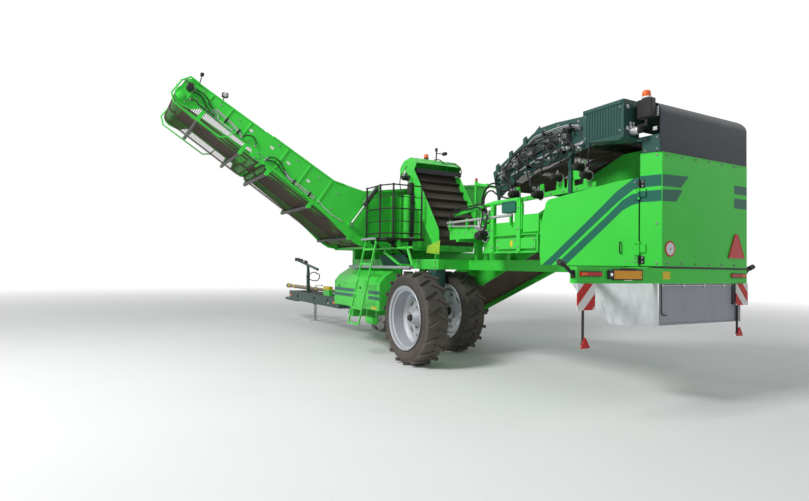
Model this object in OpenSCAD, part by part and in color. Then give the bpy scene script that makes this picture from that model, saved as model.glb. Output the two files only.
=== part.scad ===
// Trailed two-row potato harvester with bunker and unloading conveyor.
// X is to the right, Y is the driving direction, Z is up. Sizes are in millimetres.
// Places are written from the ground, the left side and the rear bumper; the origin
// of the finished model is the centre of the drawbar eye.

/* [Drawbar eye] */
// Distance of the eye from the left side of the machine
eye_x = 800; // [740:10:860]
// Distance of the eye from the rear bumper
eye_y = 13200; // [13000:20:13400]
// Height of the eye above the ground
eye_z = 600; // [560:5:640]
// Bore of the eye
eye_bore_d = 50; // [40:1:56]

/* [Frame] */
// Width over the rear bumper
rear_w = 3340; // [3200:10:3400]
// Underside of the frame rails
rail_z = 1660; // [1650:5:1690]
// Height of the frame rails
rail_h = 180; // [140:5:200]
// Width of the frame rails
rail_w = 120; // [90:5:140]
// Left edge of the left rail
left_rail_x = 560; // [540:5:600]
// Left edge of the middle rail
mid_rail_x = 1330; // [1310:5:1350]
// Rear end of the left rail
left_rail_y = 3700; // [3500:20:3780]
// Front end of the rails
rail_front_y = 7420; // [7420:10:7460]

/* [Wheels] */
// Diameter over the lugs
tyre_d = 1620; // [1560:10:1640]
// Width of the tyre
tyre_w = 450; // [400:10:470]
// Diameter of the rim under the bead
rim_d = 1080; // [1040:10:1100]
// Height of the lugs
lug_h = 34; // [20:1:40]
// Lugs on each half of a tyre
lug_n = 18; // [12:1:22]
// Diameter of the stub axles
stub_d = 100; // [80:2:120]
// Axle of the left wheel from the rear bumper
left_axle_y = 3910; // [3880:10:3920]
// Axle of the right wheel from the rear bumper
right_axle_y = 4950; // [4930:10:4970]
// Left face of the right tyre
right_tyre_x = 1550; // [1540:5:1560]

/* [Sorting webs] */
// Diameter of a web rod
rod_d = 24; // [16:1:30]
// Distance between the modelled rods
rod_pitch = 160; // [140:10:240]
// Thickness of the web belts
belt_t = 12; // [8:1:16]
// Width of a web belt
belt_w = 70; // [50:5:90]
// Radius of the web rollers
roller_r = 76; // [60:2:84]

/* [Main web] */
// Left side of the main web channel
web_x0 = 2050; // [2045:5:2080]
// Distance of the main web channel's right side from the right side of the machine
web_inset = 40; // [35:5:90]
// Plate thickness of the channels
plate_t = 12; // [8:1:14]

/* [Digging unit] */
// Left side of the digging channel
dig_x0 = 1840; // [1830:5:1860]
// Right side of the digging channel
dig_x1 = 3440; // [3400:5:3460]
// Radius of the ridge rollers at their ends
ridge_r = 200; // [180:5:205]
// Distance between the two ridges
row_pitch = 750; // [740:5:760]
// Radius of the disc coulters
disc_r = 300; // [260:5:310]

/* [Rear housing] */
// Left edge of the rear panel
panel_x0 = 1470; // [1460:5:1480]
// Underside of the rear panel
panel_z0 = 1762; // [1755:1:1770]
// Top of the rear panel
panel_z1 = 3200; // [3150:10:3220]
// Panel thickness
panel_t = 20; // [14:1:24]
// Top of the anthracite cover
cover_z1 = 3860; // [3800:10:3880]
// Opening angle of the side door's resting place from straight ahead
door_turn = 20; // [16:1:22]

/* [Elevator] */
// Left side of the elevator
elev_x0 = 890; // [880:5:900]
// Right side of the elevator
elev_x1 = 1960; // [1950:5:1970]
// Slope of the elevator
elev_a = 53; // [51:0.5:54]
// Length of the elevator between its end rollers
elev_l = 1850; // [1800:10:1860]

/* [Bunker] */
// Rear face of the bunker
bunker_y0 = 5800; // [5790:5:5810]
// Front face of the bunker
bunker_y1 = 7500; // [7490:5:7540]
// Sheet thickness of the bunker
sheet_t = 10; // [6:1:12]
// Top of the bunker at its left end
bunker_z_left = 3230; // [3200:10:3260]
// Top of the bunker at its right end
bunker_z_right = 3660; // [3600:10:3700]

/* [Unloading conveyor] */
// Slope of the unloading conveyor
conv_a = 34; // [33:0.5:35]
// Length of the inner part, from the root pivot to the fold
conv_l = 2600; // [2550:10:2640]
// Length of the outer part, from the fold to the head roller
head_l = 1650; // [1600:10:1680]
// Wall height of the conveyor at the kink of the inner part
conv_h = 597; // [580:1:620]
// Wall height at the head
head_h = 402; // [380:1:430]

/* [Platform] */
// Height of the platform floor
platform_z = 2240; // [2230:2:2250]
// Height of the railing above the floor
rail_height = 1030; // [980:10:1100]
// Length of the ladder
ladder_l = 1640; // [1600:10:1680]
// Lean of the ladder from upright
ladder_a = 12; // [8:0.5:14]

/* [Hidden] */
$fn = 48;

// Paint and material colours
leaf = [0.16, 0.62, 0.20];
pine = [0.10, 0.25, 0.23];
slate = [0.12, 0.15, 0.16];
steel = [0.62, 0.63, 0.64];
soot = [0.10, 0.10, 0.10];
earth = [0.33, 0.25, 0.19];
canvas = [0.85, 0.85, 0.83];

// Clearances
seat = 0.3;          // between a curved face and what carries it
running = 0.05;      // radial, shaft in bore

tyre_r = tyre_d / 2;
rim_r = rim_d / 2;
rail_top = rail_z + rail_h;
left_wheel_x = tyre_w / 2;
web_x1 = rear_w - web_inset;
right_wheel_x = right_tyre_x + tyre_w / 2;
leg_w = rail_w;

// Points in the side view are [y, z]
main_web_low = [6180, 820];
main_web_top = [600, 3130];
dig_pivot = [6420, 1100];
dig_web_low = [8420, 330];
dig_web_top = [6560, 1060];
upper_web_low = [2950, 3130];
upper_web_top = [1250, 3560];
elev_low = [4320, 2200];
head_pivot_y = rail_front_y + 440;

// Root pivot of the unloading conveyor, [x, z]
conv_root = [40, 2230];
ladder_pivot = [-30, 2190];

function slope(p, q) = atan2(q[1] - p[1], q[0] - p[0]);
function len2(p, q) = norm([q[0] - p[0], q[1] - p[1]]);

module framed() translate([-eye_x, -eye_y, -eye_z]) children();

module block(lo, hi) translate(lo) cube([hi[0] - lo[0], hi[1] - lo[1], hi[2] - lo[2]]);

// A plate in the side view: points are [y, z], from x to x + t
module side_plate(x, t, points) translate([x, 0, 0])
    rotate([90, 0, 90]) linear_extrude(t) polygon(points);

// A plate in the rear view: points are [x, z], from y to y + t
module rear_plate(y, t, points) translate([0, y + t, 0])
    rotate([90, 0, 0]) linear_extrude(t) polygon(points);

module shaft_x(x0, x1, y, z, r) translate([x0, y, z]) rotate([0, 90, 0]) cylinder(h = x1 - x0, r = r);

module shaft_y(x, y0, y1, z, r) translate([x, y0, z]) rotate([-90, 0, 0]) cylinder(h = y1 - y0, r = r);

module post_z(x, y, z0, z1, r) translate([x, y, z0]) cylinder(h = z1 - z0, r = r);

// A round bar from p to q
module strut(p, q, r) {
    d = q - p;
    translate(p) rotate([0, acos(d[2] / norm(d)), atan2(d[1], d[0])]) cylinder(h = norm(d), r = r);
}

module stadium(l, r) {
    circle(r);
    translate([l, 0]) circle(r);
    translate([0, -r]) square([l, 2 * r]);
}

// An endless web round two rollers, in its own frame: u along the web, v across its
// thickness, rods along x from 0 to width.
module web(l, r, width, belts, rod_h = 0) {
    straight = floor(l / rod_pitch);
    for (b = belts) translate([b - belt_w / 2, 0, 0]) rotate([90, 0, 90]) linear_extrude(belt_w)
        difference() {
            stadium(l, r + belt_t);
            stadium(l, r);
        }
    for (i = [0 : straight], side = [-1, 1])
        translate([0, i * rod_pitch, side * (r + belt_t + rod_h)]) rod(width);
    for (i = [1, 2], turn = [0, 1])
        translate([0, turn * l, 0]) rotate([turn * 180 + i * 60, 0, 0])
            translate([0, 0, r + belt_t]) rod(width);
}

module rod(width) rotate([0, 90, 0]) cylinder(h = width, r = rod_d / 2, $fn = 6);

// Puts a web between two roller centres of the side view
module along(p, q, x) translate([x, p[0], p[1]]) rotate([slope(p, q), 0, 0]) children();

function rail_ys() = [6240, rail_front_y - rail_w];

module main_frame() color(leaf) difference() {
    union() {
        block([left_rail_x, left_rail_y, rail_z], [left_rail_x + rail_w, rail_front_y, rail_top]);
        block([mid_rail_x, 450, rail_z], [mid_rail_x + rail_w, rail_front_y, rail_top]);
        // Low rear ends that pass under the rear panel and the door
        block([mid_rail_x, 100, rail_z], [mid_rail_x + rail_w, 450, panel_z0 - 12]);
        block([rear_w - 100, 100, rail_z], [rear_w - panel_t, 1560, panel_z0 - 12]);
        for (y = [left_axle_y - rail_w / 2, right_axle_y - rail_w / 2])
            block([left_rail_x, y, rail_z], [mid_rail_x + rail_w, y + rail_w, rail_top]);
        for (y = rail_ys())
            block([left_rail_x, y, rail_z], [dig_x1 + 70, y + rail_w, rail_top]);
        // Cross member that carries the upper end of the web channel
        block([mid_rail_x, 1560, rail_z], [rear_w - 16, 1560 + rail_w, rail_top]);
        // Bearers of the bunker
        for (y = rail_ys())
            block([left_rail_x, y, rail_top], [web_x1, y + rail_w, bunker_floor_z - 60]);
        // Front legs and drawbar head
        for (x = [left_rail_x, mid_rail_x])
            block([x, rail_front_y - rail_w, 520], [x + rail_w, rail_front_y, rail_z]);
        block([left_rail_x, rail_front_y - rail_w, 520],
              [mid_rail_x + rail_w, rail_front_y, 1000]);
        for (z = head_lug_z)
            linear_slab(z, 60, [[eye_x - 260, rail_front_y], [eye_x + 260, rail_front_y],
                [eye_x + 110, head_pivot_y + 60], [eye_x - 110, head_pivot_y + 60]]);
        // Hangers of the digging unit
        for (x = hanger_x)
            side_plate(x, 20, [[rail_ys()[0], rail_z], [rail_ys()[0] + rail_w + 60, rail_z],
                [dig_pivot[0] + 70, dig_pivot[1] - 70], [dig_pivot[0] - 70, dig_pivot[1] - 70]]);
        shaft_x(hanger_x[0], dig_x0 + 2, dig_pivot[0], dig_pivot[1], pivot_r);
        shaft_x(dig_x1 - 2, hanger_x[1] + 20, dig_pivot[0], dig_pivot[1], pivot_r);
        // Lugs of the digging cylinder
        for (x = [dig_cyl_x - 67, dig_cyl_x + 47])
            side_plate(x, 20, [[rail_front_y, rail_z], [rail_front_y, rail_top],
                [dig_cyl_base[0] + 45, dig_cyl_base[1] + 40], [dig_cyl_base[0] + 45, dig_cyl_base[1] - 45],
                [dig_cyl_base[0] - 30, dig_cyl_base[1] - 45]]);
        shaft_x(dig_cyl_x - 67, dig_cyl_x + 67, dig_cyl_base[0], dig_cyl_base[1], cyl_pin_r);
        // Lugs of the steering cylinder
        for (z = [steer_z - 72, steer_z + 47])
            linear_slab(z, 25, [[steer_base[0] - 60, rail_front_y], [steer_base[0] + 60, rail_front_y],
                [steer_base[0] + 45, steer_base[1] + 45], [steer_base[0] - 45, steer_base[1] + 45]]);
        post_z(steer_base[0], steer_base[1], steer_z - 72, steer_z + 72, cyl_pin_r);
        // Pivot pin of the drawbar
        post_z(eye_x, head_pivot_y, head_lug_z[0], head_lug_z[1] + 60, pivot_r);
    }
}

module linear_slab(z, t, points) translate([0, 0, z]) linear_extrude(t) polygon(points);

bunker_floor_z = 2110;
head_lug_z = [540, 960];
pivot_r = 40;
cyl_pin_r = 20;
hanger_x = [dig_x0 - plate_t - 32, dig_x1 + plate_t + 12];
dig_cyl_x = 2640;
dig_cyl_base = [rail_front_y + 100, 1640];
dig_cyl_eye = [7960, 930];
steer_base = [1390, rail_front_y + 80];
steer_eye = [1190, 8720];
steer_z = 780;

module axle_legs() color(pine) {
    leg(left_rail_x, left_axle_y);
    leg(mid_rail_x, right_axle_y);
    shaft_x(left_wheel_x + stub_end, left_rail_x + 40, left_axle_y, tyre_r, stub_d / 2);
    shaft_x(mid_rail_x + rail_w - 40, right_wheel_x - stub_end, right_axle_y, tyre_r, stub_d / 2);
}

stub_end = 46;

// A leg from the rail down to the stub axle, with a bevelled foot
module leg(x, y) side_plate(x, leg_w, [[y - 140, rail_z], [y - 90, tyre_r - 60], [y - 50, tyre_r - 110],
    [y + 50, tyre_r - 110], [y + 90, tyre_r - 60], [y + 140, rail_z]]);

module oil_tank() color(slate) difference() {
    block([left_rail_x + 40, tank_y0, tank_z0], [mid_rail_x + 60, tank_y1, rail_z]);
    // Bevelled lower edges
    for (x = [left_rail_x + 40, mid_rail_x + 60])
        translate([x, tank_y0 - 1, tank_z0]) rotate([0, 45, 0])
            translate([-60, 0, -60]) cube([120, tank_y1 - tank_y0 + 2, 120]);
}
tank_y0 = rail_front_y - 940;
tank_y1 = rail_front_y - 240;
tank_z0 = 1120;

// Tyre about the x axis, its middle plane at x = 0
module tyre() color(soot) rotate([0, 90, 0]) {
    carcass_r = tyre_r - lug_h;
    w = tyre_w / 2;
    rotate_extrude() polygon([
        [rim_r + seat, -w + 40], [rim_r + 40, -w + 22], [rim_r + 120, -w], [carcass_r - 60, -w + 8],
        [carcass_r - 12, -w + 40], [carcass_r, -w + 90], [carcass_r, w - 90], [carcass_r - 12, w - 40],
        [carcass_r - 60, w - 8], [rim_r + 120, w], [rim_r + 40, w - 22], [rim_r + seat, w - 40]]);
    intersection() {
        cylinder(h = tyre_w - 4, r = tyre_r, center = true);
        for (i = [0 : lug_n - 1], half = [0, 1])
            rotate([0, 0, (i + half / 2) * 360 / lug_n]) mirror([0, 0, half]) lug(carcass_r);
    }
}

// One lug: a slanting bar from the middle of the tread to the shoulder
module lug(carcass_r) translate([carcass_r - 20, 0, 0]) rotate([0, 90, 0])
    linear_extrude(lug_h + 20) polygon([[10, -22], [10, 32], [-tyre_w / 2 + 30, 150],
        [-tyre_w / 2 + 2, 150], [-tyre_w / 2 + 2, 96], [-tyre_w / 2 + 60, 84]]);

// Rim about the x axis; the deep dish opens towards -x
module rim() color(steel) rotate([0, 90, 0]) difference() {
    w = tyre_w / 2;
    rotate_extrude() polygon([
        [hub_r, rim_disc_x + 60], [hub_r, rim_disc_x - 40], [stub_d / 2 - 10, rim_disc_x - 40],
        [0, rim_disc_x - 150], [0, rim_disc_x - 170], [90, rim_disc_x - 165], [150, rim_disc_x - 60],
        [150, rim_disc_x - 8], [rim_r - 130, rim_disc_x - 8], [rim_r - 70, rim_disc_x - 50],
        [rim_r - 70, -w + 60], [rim_r - 22, -w + 46], [rim_r - 22, -w + 16], [rim_r + 10, -w + 6],
        [rim_r + 20, -w + 6], [rim_r + 20, -w + 12], [rim_r, -w + 22], [rim_r, -w + 50],
        [rim_r - 54, -w + 70], [rim_r - 54, w - 70], [rim_r, w - 50], [rim_r, w - 22],
        [rim_r + 20, w - 12], [rim_r + 20, w - 6], [rim_r + 10, w - 6], [rim_r - 22, w - 16],
        [rim_r - 22, w - 46], [rim_r - 70, w - 60], [rim_r - 70, rim_disc_x - 30],
        [rim_r - 120, rim_disc_x + 8], [160, rim_disc_x + 8], [160, rim_disc_x + 60]]);
    for (i = [0 : slot_n - 1]) rotate([0, 0, i * 360 / slot_n])
        translate([rim_r - 220, 0, rim_disc_x - 20]) {
            for (y = [-50, 50]) translate([0, y, 0]) cylinder(h = 40, r = 24);
            translate([-24, -50, 0]) cube([48, 100, 40]);
        }
}
hub_r = stub_d / 2 + running;
rim_disc_x = 80;
slot_n = 8;

module rear_bumper() color(leaf) {
    difference() {
        block([0, 0, bumper_z0], [rear_w, 100, bumper_z1]);
        block([40, 10, bumper_z0 + 10], [rear_w - 40, 90, bumper_z1 - 10]);
        block([200, 80, bumper_z0 + 60], [rear_w - 200, 101, bumper_z1 - 60]);
    }
    // Brace from the overhanging left end to the middle rail
    linear_slab(rail_z - 60, 60, [[260, 90], [360, 90], [mid_rail_x + 60, 1000], [mid_rail_x + 60, 1120]]);
}
bumper_z0 = 1550;
bumper_z1 = 1740;

module warning_boards() color("white") {
    for (x = board_x) {
        block([x, -14, 1250], [x + 280, -4, 1548]);
        block([x + 160, -4, 1300], [x + 210, 30, bumper_z0 - seat]);
    }
    // Number plate and round plate, both bare
    block([580, -22, 1598], [1080, -seat, 1706]);
    translate([1630, -seat, 1985]) rotate([90, 0, 0]) cylinder(h = 6, r = 100);
}
board_x = [0, rear_w - 280];

module rear_lamps() color("red") {
    // Tail strips, slow-vehicle triangle and the two hanging reflectors
    for (x = [45, rear_w - 385]) block([x, -20, 1632], [x + 340, -seat, 1682]);
    rear_plate(-12, 12 - seat, [[2880, 1900], [3260, 1900], [3100, 2230], [3040, 2230]]);
    for (x = reflector_x) rear_plate(-20, 12, [[x - 70, 830], [x + 70, 830], [x, 950]]);
}
reflector_x = [120, rear_w - 210];

module marker_arms() color(soot) {
    for (x = reflector_x) post_z(x, 18, 870, bumper_z0 - seat, 15);
    for (x = reflector_x) block([x - 20, -8 + seat, 850], [x + 20, 30, 880]);
    for (s = [0, 1]) translate([s * rear_w, 0, 0]) mirror([s, 0, 0]) {
        block([-10, 20, 1610], [-seat, 80, 1700]);
        strut([-16, 50, 1660], [-150, 50, 1760], 20);
        strut([-150, 50, 1760], [-230, 40, 1790], 34);
    }
}

function turned(p, a, l) = [p[0] - l * sin(a), p[1] + l * cos(a)];
strip_l = 270;
// The hinge line of the side door stands outside its face
hinge_out = 26;
knuckle_r = 12;
door_pivot = turned([panel_x0, 0], door_turn, strip_l) - hinge_out * [cos(door_turn), sin(door_turn)];
module on_hinge() translate([door_pivot[0], door_pivot[1], 0]) rotate([0, 0, door_turn]) children();

module rear_panel() color(leaf) {
    inner = turned([panel_x0 + panel_t, panel_t], door_turn, strip_l - 20);
    translate([0, 0, panel_z0]) linear_extrude(panel_z1 - panel_z0) polygon([
        turned([panel_x0, 0], door_turn, strip_l - 8), [panel_x0, 0], [rear_w, 0], [rear_w, 1500],
        [rear_w - panel_t, 1500], [rear_w - panel_t, panel_t], [panel_x0 + panel_t * 0.8, panel_t], inner]);
    // Posts that stand on the bumper
    for (x = [panel_x0 + 60, rear_w - 110])
        block([x, panel_t, bumper_z1], [x + 60, 90, panel_z1 - 200]);
    // Hinge leaves, knuckles and pins
    for (z = hinge_z) on_hinge() {
        post_z(0, 0, z - 60, z + 60, knuckle_r);
        post_z(0, 0, z - 90, z + 90, hinge_pin_r);
        block([6, -80, z - 55], [hinge_out + 2, -2, z + 55]);
    }
}
hinge_z = [1990, 2700];

module side_door() color(leaf) on_hinge() {
    // Two flat facets with a fold between them, in a frame that looks along the door
    facet([[8, panel_z0], [door_kink_l, panel_z0], [door_kink_l, 2870], [8, 2895]]);
    translate([0, door_kink_l, 0]) rotate([0, 0, door_bend])
        facet([[-4, panel_z0], [door_l - 15, panel_z0], [door_l, 1930], [door_l - 10, 2330],
            [door_l - 90, 2650], [door_l - 130, 2690], [-4, 2870]]);
    for (z = hinge_z, d = [-88, 62]) translate([0, 0, z + d]) difference() {
        union() {
            cylinder(h = 26, r = knuckle_r);
            block([-4, 0, 0], [hinge_out - 8, 60, 26]);
        }
        translate([0, 0, -1]) cylinder(h = 28, r = hinge_pin_r + running);
    }
}
hinge_pin_r = 8;
module facet(points) translate([hinge_out - 10, 0, 0]) rotate([90, 0, 90])
    linear_extrude(panel_t) polygon(points);
door_kink_l = 290;
door_bend = 3;
door_l = 1060;

// Rounded cover, open at the left, at the front and below
module top_cover() color(slate) difference() {
    intersection() {
        cover_side(0);
        cover_rear(0);
    }
    intersection() {
        cover_side(panel_t);
        cover_rear(panel_t);
    }
}
cover_x0 = panel_x0 - 20;
cover_x1 = rear_w - 4;
cover_l = 1180;
// Radii of its rear edge and of its right edge
cover_rear_r = 170;
cover_right_r = 160;

// Side view of the cover, shrunk by d on its walls
module cover_side(d) translate([cover_x0 - 3 * d, 0, 0]) rotate([90, 0, 90])
    linear_extrude(cover_x1 - cover_x0 + 2 * d) {
        translate([d, panel_z1 - 5 * d]) square([cover_l, cover_z1 - cover_rear_r - panel_z1 + 5 * d]);
        translate([cover_rear_r, panel_z1]) square([cover_l - cover_rear_r + d, cover_z1 - panel_z1 - d]);
        translate([cover_rear_r, cover_z1 - cover_rear_r]) circle(cover_rear_r - d);
    }
// Rear view of the cover
module cover_rear(d) translate([0, cover_l + 10 * d, 0]) rotate([90, 0, 0]) linear_extrude(cover_l + 10 * d) {
    translate([cover_x0 - 4 * d, panel_z1 - 5 * d])
        square([cover_x1 - cover_x0 + 3 * d, cover_z1 - cover_right_r - panel_z1 + 5 * d]);
    translate([cover_x0 - 4 * d, panel_z1])
        square([cover_x1 - cover_right_r - cover_x0 + 4 * d, cover_z1 - panel_z1 - d]);
    translate([cover_x1 - cover_right_r, cover_z1 - cover_right_r]) circle(cover_right_r - d);
}

module rear_curtain() color(canvas)
    block([panel_x0, 36, 1020], [rear_w - 90, 46, bumper_z0 - seat]);

module side_curtain() color(canvas) translate([panel_x0 - 4, 46, 0]) rotate([0, 0, door_turn])
    translate([-hinge_out, 0, 0]) facet([[0, 1017], [278, 994], [643, 996], [709, 1140], [810, 1217],
        [1052, 1390], [1160, 1545], [0, bumper_z0 - seat]]);

module control_box() color(pine)
    side_plate(panel_x0 - 320, 300 - seat, [[320, 3420], [400, 3380], [960, 3450], [990, 3520],
        [990, 3890], [320, 3900]]);

module beacons() color("orange") {
    // Main beacon on its post, and a small one on the elevator hood
    post_z(panel_x0 - 90, 160, 3560, 3890, 22);
    post_z(panel_x0 - 90, 160, 3890, 3905, 55);
    post_z(panel_x0 - 90, 160, 3905, 4000, 45);
    block([panel_x0 - 112, 138, 3540], [panel_x0 - 68, 320, 3580]);
}

module web_frame() color(leaf) {
    l = len2(main_web_low, main_web_top);
    for (x = [web_x0 - plate_t, web_x1])
        along(main_web_top, main_web_low, x)
            rotate([90, 0, 90]) linear_extrude(plate_t)
                polygon([[-90, -120], [200, -200], [l - 140, -200], [l + 60, -130],
                    [l + 60, 180], [l - 700, 420], [300, 420], [-90, 260]]);
    for (u = [0, l / 3, 2 * l / 3, l])
        along(main_web_top, main_web_low, web_x0)
            translate([-2, u, 0]) rotate([0, 90, 0])
                cylinder(h = web_x1 - web_x0 + 4, r = u == 0 || u == l ? roller_r - seat : 40);
    for (x = [[web_x0 - plate_t - 40, web_x0 - 6], [web_x1 + 6, web_x1 + 2 * plate_t]])
        block([x[0], 1560, rail_top], [x[1], 1680, 2560]);
}

module main_web() color(earth) along(main_web_low, main_web_top, web_x0 + 8)
    web(len2(main_web_low, main_web_top), roller_r, web_x1 - web_x0 - 16,
        [60, (web_x1 - web_x0 - 16) / 2, web_x1 - web_x0 - 76]);

module upper_arm() color(pine) {
    arm = [[3330, 3400], [2190, 3950], [1800, 3960], [1250, 3930], [1180, 3830], [420, 3830],
        [420, 3500], [1120, 3470], [1700, 3360], [2600, 3250], [3190, 2890]];
    // The right plate stays under the rounded edge of the cover
    low = [[3330, 3400], [2190, 3950], [1800, 3960], [1250, 3930], [cover_l + 10, 3690], [420, 3690],
        [420, 3500], [1120, 3470], [1700, 3360], [2600, 3250], [3190, 2890]];
    side_plate(panel_x0 - 20, 20, arm);
    side_plate(web_x1 - 10, 20, low);
    for (p = [[3180, 3150], [2300, 3750], [1700, 3850]]) shaft_x(panel_x0 - 2, web_x1 - 8, p[0], p[1], 45);
    for (p = [upper_web_low, upper_web_top]) shaft_x(panel_x0 - 2, web_x1 - 8, p[0], p[1], roller_r - seat);
    // Legs down to the middle rail and to the web channel
    block([mid_rail_x + 70, 1436, rail_top], [panel_x0 - 10, 1500, 3440]);
    block([web_x1 + plate_t, 2500, 2600], [web_x1 + plate_t + 18, 2620, 3300]);
    block([web_x1 - 10, 2500, 3262], [web_x1 + plate_t + 18, 2620, 3300]);
    // Upright brackets on the upper edge
    for (p = [[3150, 3440], [2800, 3610], [2450, 3780]])
        side_plate(panel_x0 - 60, 40, [[p[0] - 50, p[1] - 160], [p[0] + 50, p[1] - 210],
            [p[0] + 60, p[1] + 60], [p[0], p[1] + 90]]);
}

module upper_web() color(earth) along(upper_web_low, upper_web_top, panel_x0 + 10)
    web(len2(upper_web_low, upper_web_top), roller_r, web_x1 - 30 - panel_x0,
        [60, (web_x1 - 30 - panel_x0) / 2, web_x1 - 90 - panel_x0]);

module valve_rack() color(steel) {
    // Valve blocks and pipes along the left face of the arm
    for (p = [[2950, 3290], [2620, 3440], [2280, 3580], [1900, 3640], [1550, 3660]])
        block([panel_x0 - 130, p[0] - 70, p[1] - 60], [panel_x0 - 20 - seat, p[0] + 70, p[1] + 60]);
    for (k = [0 : 3]) translate([-18 * k, 0, 22 * k])
        strut([panel_x0 - 60, 3010, 3338], [panel_x0 - 60, 1560, 3728], 9);
}

module cleaning_rollers() color(steel) {
    for (i = [0 : 5]) shaft_y(1560 + 250 * i, 118, 1402, 2480, 70);
    block([panel_x0 + 60, 90, 2400], [rear_w - panel_t, 120, 2560]);
    block([mid_rail_x + 70, 1400, 2400], [rear_w - panel_t, 1430, 2560]);
    block([mid_rail_x + 70, 1400, rail_top], [mid_rail_x + rail_w, 1430, 2410]);
}

module picking_frame() color(leaf) {
    // Side panels, the left one with its lip
    block([pick_x0, 1540, 1960], [pick_x0 + plate_t, 2850, 2200]);
    block([pick_x0 - 40, 1580, 1940], [pick_x0 + plate_t, 2850, 1960]);
    block([pick_x1 - plate_t, 1540, 2160], [pick_x1, 3880, 2480]);
    block([pick_x0, 1540, 2200], [pick_x0 + plate_t, 3880, 2420]);
    // Posts and upper tube
    for (y = [1960, 2590]) block([pick_x0 - 60, y - 40, 1960], [pick_x0, y + 40, 2760]);
    strut([pick_x0 - 30, 1960, 2740], [pick_x0 - 30, 2590, 2740], 40);
    strut([pick_x0 - 30, 2600, 2740], [pick_x0 + 20, 3760, 2640], 34);
    // Feet on the middle rail
    for (y = [1700, 2700, 3600]) {
        block([mid_rail_x, y, rail_top], [mid_rail_x + rail_w, y + 80, 2260]);
        block([pick_x0, y, 2160], [pick_x1 - plate_t, y + 80, 2260]);
    }
    for (y = [1600, 3820]) shaft_x(pick_x0 + 10, pick_x1 - 10, y, pick_z, 50 - seat);
}
pick_x0 = 912;
pick_x1 = 1680;
pick_z = 2360;

module picking_belt() color(soot) translate([pick_x0 + plate_t + 8, 1600, pick_z])
    rotate([90, 0, 90]) linear_extrude(pick_x1 - pick_x0 - 2 * plate_t - 16)
        difference() {
            stadium(3820 - 1600, 58);
            stadium(3820 - 1600, 50);
        }

function elev_at(u, v) = [elev_low[0] + u * cos(elev_a) - v * sin(elev_a),
    elev_low[1] + u * sin(elev_a) + v * cos(elev_a)];

module elevator_frame() color(leaf) {
    for (x = [elev_x0, elev_x1 - plate_t])
        side_plate(x, plate_t, [elev_at(-110, -90), elev_at(60, -130), elev_at(880, -130),
            elev_at(920, -200), elev_at(1040, -200), elev_at(1080, -130), elev_at(elev_l + 60, -130),
            elev_at(elev_l + 110, 60), elev_at(elev_l + 40, 200), elev_at(100, 200), elev_at(-110, 60)]);
    for (u = [0, elev_l]) {
        p = elev_at(u, 0);
        shaft_x(elev_x0 + 10, elev_x1 - 10, p[0], p[1], roller_r - seat);
    }
    for (u = [[700, 0, 40], [980, -165, 30]]) {
        p = elev_at(u[0], u[1]);
        shaft_x(elev_x0 + 10, elev_x1 - 10, p[0], p[1], u[2]);
    }
    // Post on the middle rail
    block([mid_rail_x + 20, 5008, rail_top], [mid_rail_x + rail_w - 20, 5078, 2880]);
}

module elevator_belt() color(soot) {
    w = elev_x1 - elev_x0 - 2 * plate_t - 16;
    translate([elev_x0 + plate_t + 8, elev_low[0], elev_low[1]]) rotate([elev_a, 0, 0]) {
        rotate([90, 0, 90]) linear_extrude(w) difference() {
            stadium(elev_l, roller_r + belt_t);
            stadium(elev_l, roller_r);
        }
        for (i = [0 : floor(elev_l / elev_pitch)])
            translate([0, i * elev_pitch, roller_r + belt_t]) cube([w, 10, 70]);
        for (i = [1 : floor(elev_l / elev_pitch)])
            translate([0, i * elev_pitch - 120, -roller_r - belt_t - 40]) cube([w, 10, 40]);
    }
}
elev_pitch = 240;

// The hood over the elevator's upper end; its points are counted from the upper roller
module elevator_hood() color(leaf) {
    top = elev_at(elev_l, 0);
    ridge = [[-373, 122], [-133, 262], [157, 222], [307, 92]];
    under = [[307, 80], [153, 210], [-129, 250], [-367, 114]];
    side_plate(elev_x0 - 14, elev_x1 - elev_x0 + 28, [for (p = concat(ridge, under)) top + p]);
    for (x = [elev_x0 - 14, elev_x1])
        side_plate(x, 14, concat([for (p = concat(ridge, [[307, -118]])) top + p],
            [elev_at(elev_l + 110, 60), elev_at(elev_l, 60), elev_at(elev_l - 200, 160)]));
    post_z(elev_x0 + 420, top[0] - 33, top[1] + 252, top[1] + 382, 26);
}

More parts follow.
